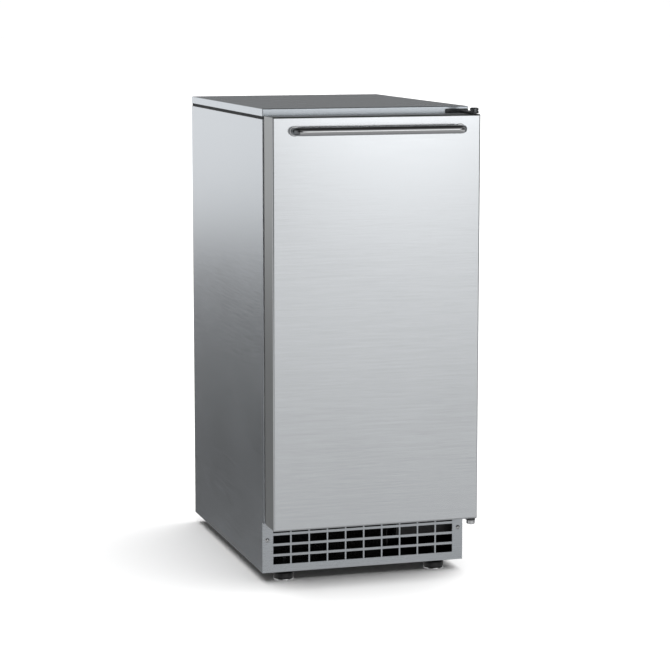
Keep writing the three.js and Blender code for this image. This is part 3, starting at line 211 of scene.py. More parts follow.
# ---------------------------------------------------------------- finishes
class Finish:
    """A material with a Principled shader, and short ways to wire patterns into it."""

    def __init__(self, name, roughness=0.5, metallic=0.0, **fixed):
        self.material = bpy.data.materials.new(name)
        self.material.use_nodes = True
        self.tree = self.material.node_tree
        self.shader = self.tree.nodes["Principled BSDF"]
        self.shader.inputs["Roughness"].default_value = roughness
        self.shader.inputs["Metallic"].default_value = metallic
        for socket, value in fixed.items():
            self.shader.inputs[socket.replace("_", " ")].default_value = value

    def node(self, kind, **inputs):
        made = self.tree.nodes.new(kind)
        for socket, value in inputs.items():
            target = made.inputs[socket.replace("_", " ")]
            if isinstance(value, bpy.types.NodeSocket):
                self.tree.links.new(value, target)
            else:
                target.default_value = value
        return made

    def place(self, stretch=(1, 1, 1)):
        """Object coordinates, with the pattern squeezed by so much along each axis."""
        coords = self.tree.nodes.new("ShaderNodeTexCoord").outputs["Object"]
        return self.node("ShaderNodeMapping", Vector=coords, Scale=stretch).outputs[0]

    def noise(self, scale, detail=4.0, stretch=(1, 1, 1), roughness=0.5):
        made = self.node(
            "ShaderNodeTexNoise",
            Vector=self.place(stretch),
            Scale=scale,
            Detail=detail,
            Roughness=roughness,
        )
        return made.outputs["Fac"]

    def cells(self, scale, stretch=(1, 1, 1)):
        made = self.node("ShaderNodeTexVoronoi", Vector=self.place(stretch), Scale=scale)
        return made.outputs["Color"]

    def ranged(self, value, low, high, start=0.3, end=0.7):
        made = self.tree.nodes.new("ShaderNodeMapRange")
        self.tree.links.new(value, made.inputs["Value"])
        for socket, number in (("From Min", start), ("From Max", end), ("To Min", low), ("To Max", high)):
            made.inputs[socket].default_value = number
        return made.outputs[0]

    def sum(self, first, second):
        made = self.tree.nodes.new("ShaderNodeMath")
        made.operation = "ADD"
        self.tree.links.new(first, made.inputs[0])
        self.tree.links.new(second, made.inputs[1])
        return made.outputs[0]

    def colour(self, pattern, dark, light, start=0.3, end=0.7):
        """Colour between two tones, as the pattern goes from start to end."""
        mix = self.tree.nodes.new("ShaderNodeMix")
        mix.data_type = "RGBA"
        factor = self.ranged(pattern, 0.0, 1.0, start, end)
        self.tree.links.new(factor, mix.inputs["Factor"])
        mix.inputs["A"].default_value = (*dark, 1)
        mix.inputs["B"].default_value = (*light, 1)
        self.tree.links.new(mix.outputs["Result"], self.shader.inputs["Base Color"])
        return self

    def rough(self, pattern, low, high, start=0.3, end=0.7):
        self.tree.links.new(self.ranged(pattern, low, high, start, end), self.shader.inputs["Roughness"])
        return self

    def bump(self, pattern, depth, strength=1.0):
        made = self.node("ShaderNodeBump", Height=pattern, Distance=depth, Strength=strength)
        self.tree.links.new(made.outputs[0], self.shader.inputs["Normal"])
        return self


def shade(tone, factor):
    return tuple(channel * factor for channel in tone)


def brushed(name, tone, grain="x", roughness=0.34):
    """Stainless sheet ground in one direction: long thin streaks in tone, gloss and height."""
    along = {"x": (1, 60, 60), "y": (60, 1, 60), "z": (60, 60, 1)}[grain]
    steel = Finish(name, metallic=1.0, Anisotropic=0.3)
    across = steel.tree.nodes.new("ShaderNodeCombineXYZ")
    across.inputs["Y" if grain == "z" else "Z"].default_value = 1.0
    steel.tree.links.new(across.outputs[0], steel.shader.inputs["Tangent"])
    fine = steel.noise(38.0, detail=6.0, stretch=along, roughness=0.75)
    cloud = steel.noise(5.0, detail=3.0)
    broad = steel.noise(13.0, detail=3.0, stretch=along)
    mixed = steel.sum(fine, steel.sum(steel.ranged(cloud, -0.05, 0.05), steel.ranged(broad, -0.12, 0.12)))
    steel.colour(mixed, shade(tone, 0.94), shade(tone, 1.04))
    steel.rough(mixed, roughness - 0.03, roughness + 0.05)
    steel.bump(fine, 0.012 * MM, 0.35)
    return steel.material


def polished(name, tone, roughness=0.09):
    """Turned and polished metal, with a faint haze and hairline scratches."""
    metal = Finish(name, metallic=1.0)
    haze = metal.noise(70.0, detail=5.0)
    hair = metal.noise(300.0, detail=2.0, stretch=(0.2, 1, 1))
    metal.colour(haze, shade(tone, 0.95), tone)
    metal.rough(haze, roughness, roughness + 0.07)
    metal.bump(hair, 0.004 * MM, 0.3)
    return metal.material


def galvanised(name, tone):
    """Zinc-coated sheet: flat crystals of slightly different tone and gloss."""
    zinc = Finish(name, metallic=0.6)
    crystals = zinc.cells(85.0)
    smear = zinc.noise(9.0)
    mixed = zinc.sum(crystals, zinc.ranged(smear, -0.2, 0.2))
    zinc.colour(mixed, shade(tone, 0.85), shade(tone, 1.06), 0.1, 0.9)
    zinc.rough(crystals, 0.38, 0.56, 0.1, 0.9)
    zinc.bump(zinc.noise(240.0), 0.01 * MM, 0.3)
    return zinc.material


def painted(name, tone, roughness=0.4, metallic=0.0, coat=0.0):
    """Sprayed paint: a fine orange-peel skin, and a little dust where it lies matt."""
    paint = Finish(name, metallic=metallic, Coat_Weight=coat, Coat_Roughness=0.15)
    peel = paint.noise(520.0, detail=3.0)
    dust = paint.noise(14.0, detail=6.0)
    paint.colour(dust, tone, tuple(channel * 1.25 + 0.004 for channel in tone))
    paint.rough(paint.sum(dust, paint.ranged(peel, -0.1, 0.1)), roughness - 0.05, roughness + 0.12)
    paint.bump(peel, 0.03 * MM, 0.35)
    return paint.material


def moulded(name, tone, roughness=0.42, grain=900.0, **fixed):
    """Injection-moulded plastic: a fine spark-eroded grain and a slow drift in tone."""
    plastic = Finish(name, **fixed)
    stipple = plastic.noise(grain, detail=2.0)
    drift = plastic.noise(7.0, detail=3.0)
    plastic.colour(drift, shade(tone, 0.95), shade(tone, 1.03))
    mixed = plastic.sum(drift, plastic.ranged(stipple, -0.15, 0.15))
    plastic.rough(mixed, roughness - 0.05, roughness + 0.08)
    plastic.bump(stipple, 0.02 * MM, 0.4)
    return plastic.material


def soft_rubber(name, tone):
    """Extruded rubber: matt, with a bloom of paler dust."""
    rubber = Finish(name, Specular_IOR_Level=0.3)
    bloom = rubber.noise(45.0, detail=7.0)
    rubber.colour(bloom, tone, tuple(channel * 1.4 + 0.008 for channel in tone))
    rubber.rough(bloom, 0.62, 0.85)
    rubber.bump(rubber.noise(700.0, detail=2.0), 0.03 * MM, 0.5)
    return rubber.material


def cast_foam(name, tone):
    """Poured insulation: small closed cells of uneven size."""
    foam = Finish(name, roughness=0.9, Specular_IOR_Level=0.2)
    pores = foam.noise(420.0, detail=4.0)
    # The colour darkens where the pores sink: painted shade in the cells.
    foam.colour(pores, shade(tone, 0.78), tone)
    foam.bump(pores, 0.6 * MM, 0.8)
    return foam.material


def tarnished(name, tone, stain, roughness=0.28):
    """Drawn metal tube or plate with brown and dull patches where it has been hot."""
    metal = Finish(name, metallic=1.0)
    patch = metal.noise(16.0, detail=6.0, roughness=0.6)
    metal.colour(patch, stain, tone, 0.32, 0.6)
    metal.rough(patch, roughness + 0.2, roughness, 0.32, 0.6)
    metal.bump(metal.noise(380.0), 0.01 * MM, 0.3)
    return metal.material


DOOR_STEEL = brushed("door_steel", (0.765, 0.79, 0.815), "x", 0.15)
SIDE_STEEL = brushed("side_steel", (0.65, 0.69, 0.735), "y", 0.20)
TOP_STEEL = brushed("top_steel", (0.67, 0.72, 0.77), "x", 0.24)
# A darker copy of the brushed door steel for the door's folded sides: painted shade on those sides.
EDGE_STEEL_PAINTED_SHADE = brushed("edge_steel_painted_shade", (0.42, 0.435, 0.44), "z", 0.32)
GRILLE_STEEL = brushed("grille_steel", (0.56, 0.59, 0.62), "x", 0.28)
# A dark copy of the brushed steel for the front collar: painted shade in the gap round the door.
COLLAR_STEEL_PAINTED_SHADE = brushed("collar_steel_painted_shade", (0.40, 0.41, 0.42), "z", 0.36)
HANDLE_STEEL = polished("handle_steel", (0.74, 0.75, 0.76), 0.07)
# A dark copy of the handle's polished steel: painted dark reflection on the handle's bends, legs and collars.
BEND_STEEL_PAINTED_SHADE = polished("bend_steel_painted_shade", (0.25, 0.26, 0.27), 0.12)
BRIGHT_STEEL = polished("bright_steel", (0.82, 0.83, 0.84), 0.12)
DARK_STEEL = polished("dark_steel", (0.20, 0.21, 0.22), 0.20)
ZINC_SHEET = galvanised("zinc_sheet", (0.58, 0.60, 0.61))
# Black paint made near-black, so that the pan, deck and control box seen through the grille also show painted
# shade.
PAN_BLACK_AND_SHADE = painted("pan_black_and_shade", (0.014, 0.014, 0.015), 0.5)
BRACKET_BLACK = painted("bracket_black", (0.018, 0.020, 0.022), 0.32, coat=0.4)
CAN_BLACK = painted("can_black", (0.012, 0.012, 0.013), 0.25, coat=0.6)
WHITE_LINER = moulded("white_liner", (0.84, 0.85, 0.84), 0.30)
WHITE_PART = moulded("white_part", (0.78, 0.79, 0.77), 0.42)
GREY_PART = moulded("grey_part", (0.13, 0.14, 0.15), 0.5)
BLACK_PART = moulded("black_part", (0.015, 0.015, 0.017), 0.45)
BLUE_CLEAR = moulded("blue_clear", (0.34, 0.52, 0.66), 0.2, Transmission_Weight=0.55, IOR=1.49)
SEAL_RUBBER = soft_rubber("seal_rubber", (0.022, 0.024, 0.026))
GASKET_GREY = soft_rubber("gasket_grey", (0.060, 0.064, 0.068))
FOAM = cast_foam("foam", (0.80, 0.72, 0.46))
COPPER = tarnished("copper", (0.86, 0.46, 0.30), (0.42, 0.20, 0.12))
TINNED = tarnished("tinned", (0.78, 0.79, 0.80), (0.60, 0.60, 0.58), 0.25)
# Black paint made near-black, so that the condenser seen through the grille's slots also shows painted shade.
FIN_BLACK_AND_SHADE = painted("fin_black_and_shade", (0.010, 0.010, 0.011), 0.55)


# ---------------------------------------------------------------- shapes
# A shell is (points, faces): one array of points, and arrays of corner numbers, one per face size.
def signed_volume(points, faces):
    """Six-fold volume from the triple products of each face's fan of triangles."""
    total = 0.0
    for corners in faces:
        first = points[corners[:, 0]]
        for k in range(1, corners.shape[1] - 1):
            turn = np.cross(points[corners[:, k]], points[corners[:, k + 1]])
            total += np.einsum("ij,ij->", first, turn)
    return total


def outward(points, faces):
    if signed_volume(points - points.mean(0), faces) < 0:
        faces = [corners[:, ::-1] for corners in faces]
    return points, faces


def lofted(rings, closed=False):
    """A skin over a stack of rings. Two flat caps end it, or the last ring joins the first."""
    count, around = rings.shape[:2]
    i = np.arange(count if closed else count - 1)[:, None]
    j = np.arange(around)[None, :]
    here, there = i * around, ((i + 1) % count) * around
    beside = (j + 1) % around
    quads = np.stack([here + j, here + beside, there + beside, there + j], -1).reshape(-1, 4)
    faces = [quads]
    if not closed:
        faces.append(np.arange(around)[None, ::-1])
        faces.append((count - 1) * around + np.arange(around)[None, :])
    return outward(rings.reshape(-1, 3), faces)


def outline(half_u, half_v, radius, steps=6):
    """A rectangle with quarter-circle corners: each corner's centre plus radius times cosine and sine."""
    signs = np.array([(1, 1), (-1, 1), (-1, -1), (1, -1)])[:, None, :]
    turn = np.arange(4)[:, None] * math.pi / 2 + np.linspace(0, math.pi / 2, steps + 1)[None, :]
    centre = signs * np.array([half_u - radius, half_v - radius])
    return (centre + radius * np.stack([np.cos(turn), np.sin(turn)], -1)).reshape(-1, 2)


def sections(lo, hi, axis, radius, stations, steps=6):
    """Rounded outlines across a box, one per station (inset, place along the axis)."""
    u, v, w = AXES[axis]
    centre, half = (lo + hi) / 2, (hi - lo) / 2
    rings = []
    for inset, place in stations:
        flat = outline(half[u] - inset, half[v] - inset, max(radius - inset, 0.15 * MM), steps)
        ring = np.empty((len(flat), 3))
        ring[:, u] = centre[u] + flat[:, 0]
        ring[:, v] = centre[v] + flat[:, 1]
        ring[:, w] = place
        rings.append(ring)
    return np.array(rings)


def curl(start, end, steps=5):
    """Stations on a quarter ellipse that leaves start along the axis and reaches end across it."""
    t = np.linspace(0, math.pi / 2, steps + 1)
    inset = start[0] + (end[0] - start[0]) * (1 - np.cos(t))
    place = start[1] + (end[1] - start[1]) * np.sin(t)
    return list(zip(inset, place))


def block(lo, hi, axis="z", radius=1 * MM, edge=0.6 * MM, steps=4):
    """A solid with rounded corners and softened ends."""
    low, high = lo[AXES[axis][2]], hi[AXES[axis][2]]
    stations = curl((0, low + edge), (edge, low), 3)[::-1] + curl((0, high - edge), (edge, high), 3)
    return lofted(sections(lo, hi, axis, radius, stations, steps))


def tray(lo, hi, axis, face_high, radius, bend, wall):
    """A pressed pan: flat face, rounded bend all round, walls back to an open rim."""
    w = AXES[axis][2]
    face, rim = (hi[w], lo[w]) if face_high else (lo[w], hi[w])
    into = math.copysign(1, rim - face)
    outside = curl((0, face + into * bend), (bend, face))
    inside = curl((wall, face + into * bend), (max(bend, wall * 1.5), face + into * wall))[::-1]
    stations = inside + [(wall, rim), (0, rim)] + outside
    return lofted(sections(lo, hi, axis, radius, stations))


def band(lo, hi, axis, radius, profile, steps=6):
    """A ring round a box, whose cross-section is a closed profile of (inset, place)."""
    return lofted(sections(lo, hi, axis, radius, profile, steps), closed=True)


def in_metres(profile):
    """A profile of (radius, height) given in millimetres."""
    return [(radius * MM, height * MM) for radius, height in profile]


def revolved(profile, centre, axis, steps):
    """Rings from a profile of (radius, height), swept round an axis by cosine and sine."""
    u, v, w = AXES[axis]
    radius, height = np.array(profile, float).T
    turn = np.linspace(0, 2 * math.pi, steps, endpoint=False)
    rings = np.empty((len(radius), steps, 3))
    rings[..., u] = centre[u] + radius[:, None] * np.cos(turn)
    rings[..., v] = centre[v] + radius[:, None] * np.sin(turn)
    rings[..., w] = centre[w] + height[:, None]
    return rings


def turned(profile, centre, axis="z", steps=48):
    """A solid of revolution. Its poles are kept a hair wide, so that no two corners meet."""
    open_poles = [(max(radius, 0.02 * MM), height) for radius, height in profile]
    return lofted(revolved(open_poles, centre, axis, steps))


def ring_of(profile, centre, axis="z", steps=48):
    """A ring of revolution with a closed profile."""
    return lofted(revolved(profile, centre, axis, steps), closed=True)


def route(corners, bend, steps=8):
    """Points along straight legs joined by rounded corners (cubic quarter circles)."""
    corners = [np.array(c, float) for c in corners]
    t = np.linspace(0, 1, steps + 1)[:, None]
    points = [corners[0][None, :]]
    for before, corner, after in zip(corners, corners[1:], corners[2:]):
        arrive, depart = corner - before, after - corner
        reach = min(bend, np.linalg.norm(arrive) / 2.05, np.linalg.norm(depart) / 2.05)
        a = corner - arrive / np.linalg.norm(arrive) * reach
        d = corner + depart / np.linalg.norm(depart) * reach
        b, c = a + (corner - a) * 0.5523, d + (corner - d) * 0.5523
        points.append((1 - t) ** 3 * a + 3 * (1 - t) ** 2 * t * b + 3 * (1 - t) * t**2 * c + t**3 * d)
    points.append(corners[-1][None, :])
    return np.concatenate(points)


def swept(path, radius, sides=20, start=(1.0, 0.0, 0.0)):
    """A round bar along a path: the section's two axes are carried from point to point without twist."""
    heading = np.gradient(path, axis=0)
    heading /= np.linalg.norm(heading, axis=1)[:, None]
    side = np.empty_like(path)
    across = np.array(start, float)
    for k, ahead in enumerate(heading):
        across = across - ahead * (across @ ahead)
        across /= np.linalg.norm(across)
        side[k] = across
    other = np.cross(heading, side)
    turn = np.linspace(0, 2 * math.pi, sides, endpoint=False)[None, :, None]
    radius = np.broadcast_to(radius, len(path))[:, None, None]
    rings = path[:, None] + radius * (np.cos(turn) * side[:, None] + np.sin(turn) * other[:, None])
    return lofted(rings)


def plate(flat, axis, low, high):
    """A flat outline of (u, v) points given a thickness along the axis."""
    u, v, w = AXES[axis]
    rings = np.empty((2, len(flat), 3))
    rings[..., u], rings[..., v] = np.array(flat, float).T
    rings[0, :, w], rings[1, :, w] = low, high
    return lofted(rings)


def punched(axis, cuts_u, cuts_v, low, high, is_open):
    """A plate with square holes. Solid cells of the grid get a face on both sides, and a wall
    wherever one meets an open cell or the plate's edge."""
    u, v, w = AXES[axis]
    count_u, count_v = len(cuts_u), len(cuts_v)
    grid = np.empty((2, count_u, count_v, 3))
    grid[..., u] = np.array(cuts_u)[None, :, None]
    grid[..., v] = np.array(cuts_v)[None, None, :]
    grid[0, ..., w], grid[1, ..., w] = low, high
    number = np.arange(2 * count_u * count_v).reshape(2, count_u, count_v)
    solid = ~np.asarray(is_open)
    padded = np.pad(solid, 1)
    i, j = np.nonzero(solid)
    under = np.stack([number[0, i, j], number[0, i, j + 1], number[0, i + 1, j + 1], number[0, i + 1, j]], -1)
    quads = [under, under[:, ::-1] + count_u * count_v]
    edges = {
        (1, 0): ((1, 0), (1, 1)),
        (-1, 0): ((0, 1), (0, 0)),
        (0, 1): ((1, 1), (0, 1)),
        (0, -1): ((0, 0), (1, 0)),
    }
    for (du, dv), (a, b) in edges.items():
        beyond = padded[1 + du : 1 + du + solid.shape[0], 1 + dv : 1 + dv + solid.shape[1]]
        i, j = np.nonzero(solid & ~beyond)
        first, second = number[0, i + a[0], j + a[1]], number[0, i + b[0], j + b[1]]
        quads.append(np.stack([first, second, second + count_u * count_v, first + count_u * count_v], -1))
    faces = np.concatenate(quads)
    used, faces = np.unique(faces, return_inverse=True)
    return outward(grid.reshape(-1, 3)[used], [faces.reshape(-1, 4)])


def spun(shell, angle, centre, axis):
    """A shell turned by an angle about an axis line."""
    u, v, _ = AXES[axis]
    points = shell[0].copy()
    du, dv = shell[0][:, u] - centre[u], shell[0][:, v] - centre[v]
    points[:, u] = centre[u] + du * math.cos(angle) - dv * math.sin(angle)
    points[:, v] = centre[v] + du * math.sin(angle) + dv * math.cos(angle)
    return points, shell[1]


def add_piece(name, shells, material, body, replaces=(), bevel=0.0, sharp=35.0):
    """One named piece from its shells. It rides on a body and may stand for CAD nodes."""
    shells = shells if isinstance(shells, list) else [shells]
    points, faces, base = [], [], 0
    for shell_points, shell_faces in shells:
        points.append(shell_points)
        for corners in shell_faces:
            faces.extend((corners + base).tolist())
        base += len(shell_points)
    mesh = bpy.data.meshes.new(name)
    mesh.from_pydata(np.concatenate(points).tolist(), [], faces)
    mesh.shade_smooth()
    mesh.set_sharp_from_angle(angle=math.radians(sharp))
    mesh.materials.append(material)
    made = bpy.data.objects.new(name, mesh)
    bpy.context.scene.collection.objects.link(made)
    if bevel:
        soften = made.modifiers.new("soft_edges", "BEVEL")
        soften.width = bevel
        soften.segments = 2
        soften.limit_method = "ANGLE"
        soften.angle_limit = math.radians(40)
        soften.harden_normals = True
    weigh = made.modifiers.new("flat_faces", "WEIGHTED_NORMAL")
    weigh.keep_sharp = True
    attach(made, body)
    if replaces:
        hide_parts(*replaces)
    return made


def smooth_copy(node, material, body, sharp=50.0, bevel=0.0):
    """A CAD node's shape with its corners merged, so that its round faces shade smoothly."""
    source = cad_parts[node].data
    points = np.empty(len(source.vertices) * 3)
    source.vertices.foreach_get("co", points)
    corners = np.empty(len(source.loops), int)
    source.loops.foreach_get("vertex_index", corners)
    microns = (points.reshape(-1, 3) * 1e6).round()
    _, first, again = np.unique(microns, axis=0, return_index=True, return_inverse=True)
    triangles = again.reshape(-1)[corners].reshape(-1, 3)
    whole = [len(set(t)) == 3 for t in triangles.tolist()]
    shell = (points.reshape(-1, 3)[first], [triangles[whole]])
    return add_piece(node + "_smooth", shell, material, body, (node,), bevel, sharp)


def corners_of(node):
    lo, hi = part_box(node)
    return np.array(lo), np.array(hi)


def paint(nodes, material):
    """Gives CAD nodes that stay as they are their finish."""
    for node in nodes:
        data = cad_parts[node].data
        data.materials.clear()
        data.materials.append(material)


def cross_head(centre, axis, radius, height, facing):
    """A pan-head screw: a dome over the disc, sunk by a smooth cross of two crossing grooves."""
    u, v, w = AXES[axis]
    share = np.linspace(0.02, 1, 12)[:, None]
    turn = np.linspace(0, 2 * math.pi, 48, endpoint=False)[None, :]
    x, y = share * np.cos(turn), share * np.sin(turn)
    dome = np.sqrt(1.15 - share**2) - math.sqrt(0.15)
    arm = np.minimum(np.abs(x), np.abs(y))
    groove = np.clip((0.16 - arm) / 0.08, 0, 1) * np.clip((0.62 - share) / 0.08, 0, 1)
    rise = height * (dome / dome.max() - 0.55 * groove)
    rings = np.empty((*x.shape, 3))
    rings[..., u] = centre[u] + radius * x
    rings[..., v] = centre[v] + radius * y
    rings[..., w] = centre[w] + facing * rise
    under = rings[-1:].copy()
    under[..., w] = centre[w] - facing * 0.4 * MM
    return lofted(np.concatenate([under, rings[::-1]]))


# ---------------------------------------------------------------- door
def make_door():
    lo, hi = corners_of("door_skin")
    skin = tray(lo, hi, "y", False, 2.0 * MM, 3.2 * MM, SHEET)
    made = add_piece("door_skin_pressed", skin, DOOR_STEEL, "door", ("door_skin",))
    # The skin's faces that don't face front or back take the darker steel: painted shade on the folded sides.
    made.data.materials.append(EDGE_STEEL_PAINTED_SHADE)
    for face in made.data.polygons:
        face.material_index = int(abs(face.normal.y) < 0.2)

    lo, hi = corners_of("door_inner_panel")
    back, front = lo[1], hi[1]
    step = back + 2.2 * MM
    collar_lo, collar_hi = corners_of("front_collar")
    dam_clear = 12 * MM  # between the dam and the bin's mouth
    dam_lo = np.array([collar_lo[0] + 48 * MM, lo[1], bin_mouth_low() + dam_clear])
    dam_hi = np.array([-dam_lo[0], hi[1], collar_hi[2] - HEADER - dam_clear])
    flange = sections(lo, hi, "y", 3 * MM, [(1.0 * MM, back), (0, back + 0.8 * MM), (0, step)])
    rise = curl((0, front - 6 * MM), (6 * MM, front))
    dip = 0.9 * MM
    recess = [(16 * MM, front), (19 * MM, front - dip), (60 * MM, front - dip)]
    dam = sections(dam_lo, dam_hi, "y", 6 * MM, [(-4 * MM, step), (-1 * MM, step + 3 * MM)] + rise + recess)
    moulding = lofted(np.concatenate([flange, dam]))
    add_piece("door_inner_moulding", moulding, WHITE_LINER, "door", ("door_inner_panel",))

    make_gasket()
    make_handle()
    paint(["door_insulation"], FOAM)
    paint(["upper_hinge_bush", "lower_hinge_bush"], GREY_PART)


def bin_mouth_low():
    """Height of the front collar's sill, from the liner's floor."""
    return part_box("bin_liner")[0][2] + LINER_WALL + LINER_LIP + SILL


def make_gasket():
    """A bellows gasket: a foot on the door, two folds each side, and a flat magnet face."""
    lo, hi = corners_of("door_gasket")
    depth, width = hi[1] - lo[1], 18 * MM
    half = [(0.9, 0.0), (1.2, 0.16), (0.1, 0.34), (1.6, 0.52), (0.0, 0.70), (0.3, 0.92), (1.2, 1.0)]
    outer = [(inset * MM, lo[1] + share * depth) for inset, share in half]
    inner = [(width - inset, place) for inset, place in outer[::-1]]
    bellows = band(lo, hi, "y", 6 * MM, outer + inner)
    add_piece("door_gasket_bellows", bellows, GASKET_GREY, "door", ("door_gasket",))


def make_handle():
    """A bar bent back at both ends, with a turned collar where each end meets the door."""
    lo, hi = corners_of("door_handle")
    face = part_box("door_skin")[0][1]
    rod, collar = 7.25 * MM, 9 * MM
    z = (lo[2] + hi[2]) / 2
    leg = hi[0] - collar
    front = lo[1] + rod
    corners = [(-leg, face, z), (-leg, front, z), (leg, front, z), (leg, face, z)]
    bar = swept(route(corners, 20 * MM, 14), rod, 32, start=(0, 0, 1))
    parts = [bar]
    for x in (-leg, leg):
        profile = [(6.5, 0.0), (9, 0.0), (9, -2.2), (8.4, -3.0), (7.4, -3.2), (6.5, -3.0)]
        parts.append(ring_of(in_metres(profile), (x, face, z), "y"))
    made = add_piece("door_handle_bar", parts, HANDLE_STEEL, "door", ("door_handle",))
    # Faces turned to the sides, on the bends, legs and collars, take the dark copy: painted dark reflection.
    made.data.materials.append(BEND_STEEL_PAINTED_SHADE)
    for face in made.data.polygons:
        face.material_index = int(abs(face.normal.x) > 0.5)


# ---------------------------------------------------------------- cabinet
def make_cabinet():
    lo, hi = corners_of("top_panel")
    top = tray(lo, hi, "z", True, 1.6 * MM, 1.5 * MM, SHEET)
    add_piece("top_panel_pressed", top, TOP_STEEL, "cabinet", ("top_panel",))
    lo, hi = corners_of("top_seal")
    reach = np.array([2.2, 2.2, 0]) * MM
    lip = [(0, lo[2]), (0.5 * MM, (lo[2] + hi[2]) / 2), (0, hi[2]), (8 * MM, hi[2]), (8 * MM, lo[2])]
    strip = band(lo - reach, hi + reach, "z", 1 * MM, lip)
    add_piece("top_seal_strip", strip, SEAL_RUBBER, "cabinet", ("top_seal",))

    notch_y, notch_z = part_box("base_pan")[0][1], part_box("toe_grille")[1][2] + 0.3 * MM
    for side, sign in (("left", -1), ("right", 1)):
        lo, hi = corners_of(side + "_side_panel")
        outer = hi[0] if sign > 0 else lo[0]
        low, high = sorted((outer, outer - sign * SHEET))
        is_open = np.array([[True, False], [False, False]])
        sheet = punched("x", [lo[1], notch_y, hi[1]], [lo[2], notch_z, hi[2]], low, high, is_open)
        near, far = sorted((outer - sign * 0.6 * MM, outer - sign * 18 * MM))
        ear_lo = np.array([near, notch_y, 65 * MM])
        ear_hi = np.array([far, notch_y + SHEET, 93 * MM])
        ear = block(ear_lo, ear_hi, "y", 2 * MM, 0.3 * MM)
        panel = side + "_side_panel"
        add_piece(side + "_side_sheet", [sheet, ear], SIDE_STEEL, "cabinet", (panel,), 0.35 * MM)

    make_collar()
    make_liner()
    make_back()
    make_grille()
    make_hinges()
    # Near-black: black paint, and painted shade under the bin and behind the grille.
    paint(["base_pan", "bin_deck"], PAN_BLACK_AND_SHADE)
    paint(["cabinet_insulation"], FOAM)


def make_collar():
    """The front frame round the bin's mouth: outer and inner outlines joined by flat faces."""
    lo, hi = corners_of("front_collar")
    mouth_lo = np.array([lo[0] + JAMB, lo[1], bin_mouth_low()])
    mouth_hi = np.array([hi[0] - JAMB, hi[1], hi[2] - HEADER])
    outer = sections(lo, hi, "y", 0.5 * MM, [(0, hi[1]), (0, lo[1])])
    inner = sections(mouth_lo, mouth_hi, "y", 12 * MM, [(0, lo[1]), (0.4 * MM, hi[1])])
    collar = lofted(np.concatenate([outer, inner]), closed=True)
    # The collar is darkened so that the gap round the door shows painted shade.
    add_piece("front_collar_frame", collar, COLLAR_STEEL_PAINTED_SHADE, "cabinet", ("front_collar",))


def make_liner():
    """The bin: a moulded tub open to the front, with rounded corners and a flange at its mouth."""
    lo, hi = corners_of("bin_liner")
    lip, wall = LINER_LIP, LINER_WALL
    front, back = lo[1], hi[1]
    out_lo, out_hi = lo + [lip, 0, lip], hi - [lip, 0, lip]
    outer = curl((0, back - 12 * MM), (12 * MM, back))[::-1] + [(0, front + wall)]
    outside = sections(out_lo, out_hi, "y", 14 * MM, outer)
    flange = sections(lo, hi, "y", 14 * MM, [(0, front + wall), (0, front)])
    inner = [(wall, front)] + curl((wall, back - 12 * MM), (14 * MM, back - wall))
    inside = sections(out_lo, out_hi, "y", 14 * MM, inner)
    tub = lofted(np.concatenate([outside, flange, inside]))
    add_piece("bin_tub", tub, WHITE_LINER, "cabinet", ("bin_liner",))


def make_back():
    """The back sheet stays as it is, with hex screws along its edges."""
    paint(["back_panel"], ZINC_SHEET)
    lo, hi = corners_of("back_panel")
    heads = []
    for x in (lo[0] + 9 * MM, hi[0] - 9 * MM):
        for z in np.linspace(lo[2] + 20 * MM, hi[2] - 20 * MM, 6):
            profile = [(0, -0.2), (5.2, -0.2), (5.2, 0.5), (4.1, 0.7), (4.1, 3.0), (3.4, 3.6), (0, 3.6)]
            heads.append(turned(in_metres(profile), (x, hi[1], z), "y", 6))
    add_piece("back_screws", heads, BRIGHT_STEEL, "cabinet", bevel=0.2 * MM)


def make_grille():
    """The toe grille: four rows of ten square-cut slots in a flat sheet, and its two screws."""
    lo, hi = corners_of("toe_grille")
    columns, rows = 10, 4
    pitch, bar, slot_height, row_pitch, foot = np.array([34.3, 3.2, 14, 19.2, 15]) * MM
    starts = (np.arange(columns) - columns / 2) * pitch + bar / 2
    across = np.concatenate([[lo[0]], np.stack([starts, starts + pitch - bar], -1).ravel(), [hi[0]]])
    lows = lo[2] + foot + np.arange(rows) * row_pitch
    up = np.concatenate([[lo[2]], np.stack([lows, lows + slot_height], -1).ravel(), [hi[2]]])
    is_open = np.zeros((len(up) - 1, len(across) - 1), bool)
    is_open[1::2, 1::2] = True
    sheet = punched("y", up, across, lo[1], hi[1], is_open)
    add_piece("toe_grille_sheet", sheet, GRILLE_STEEL, "cabinet", ("toe_grille",), 0.5 * MM)
    for side in ("left", "right"):
        node = "grille_screw_" + side
        a, b = corners_of(node)
        centre = ((a[0] + b[0]) / 2, lo[1], (a[2] + b[2]) / 2)
        head = cross_head(centre, "y", 4.2 * MM, 2.6 * MM, -1)
        add_piece(node + "_head", head, BRIGHT_STEEL, "cabinet", (node,))


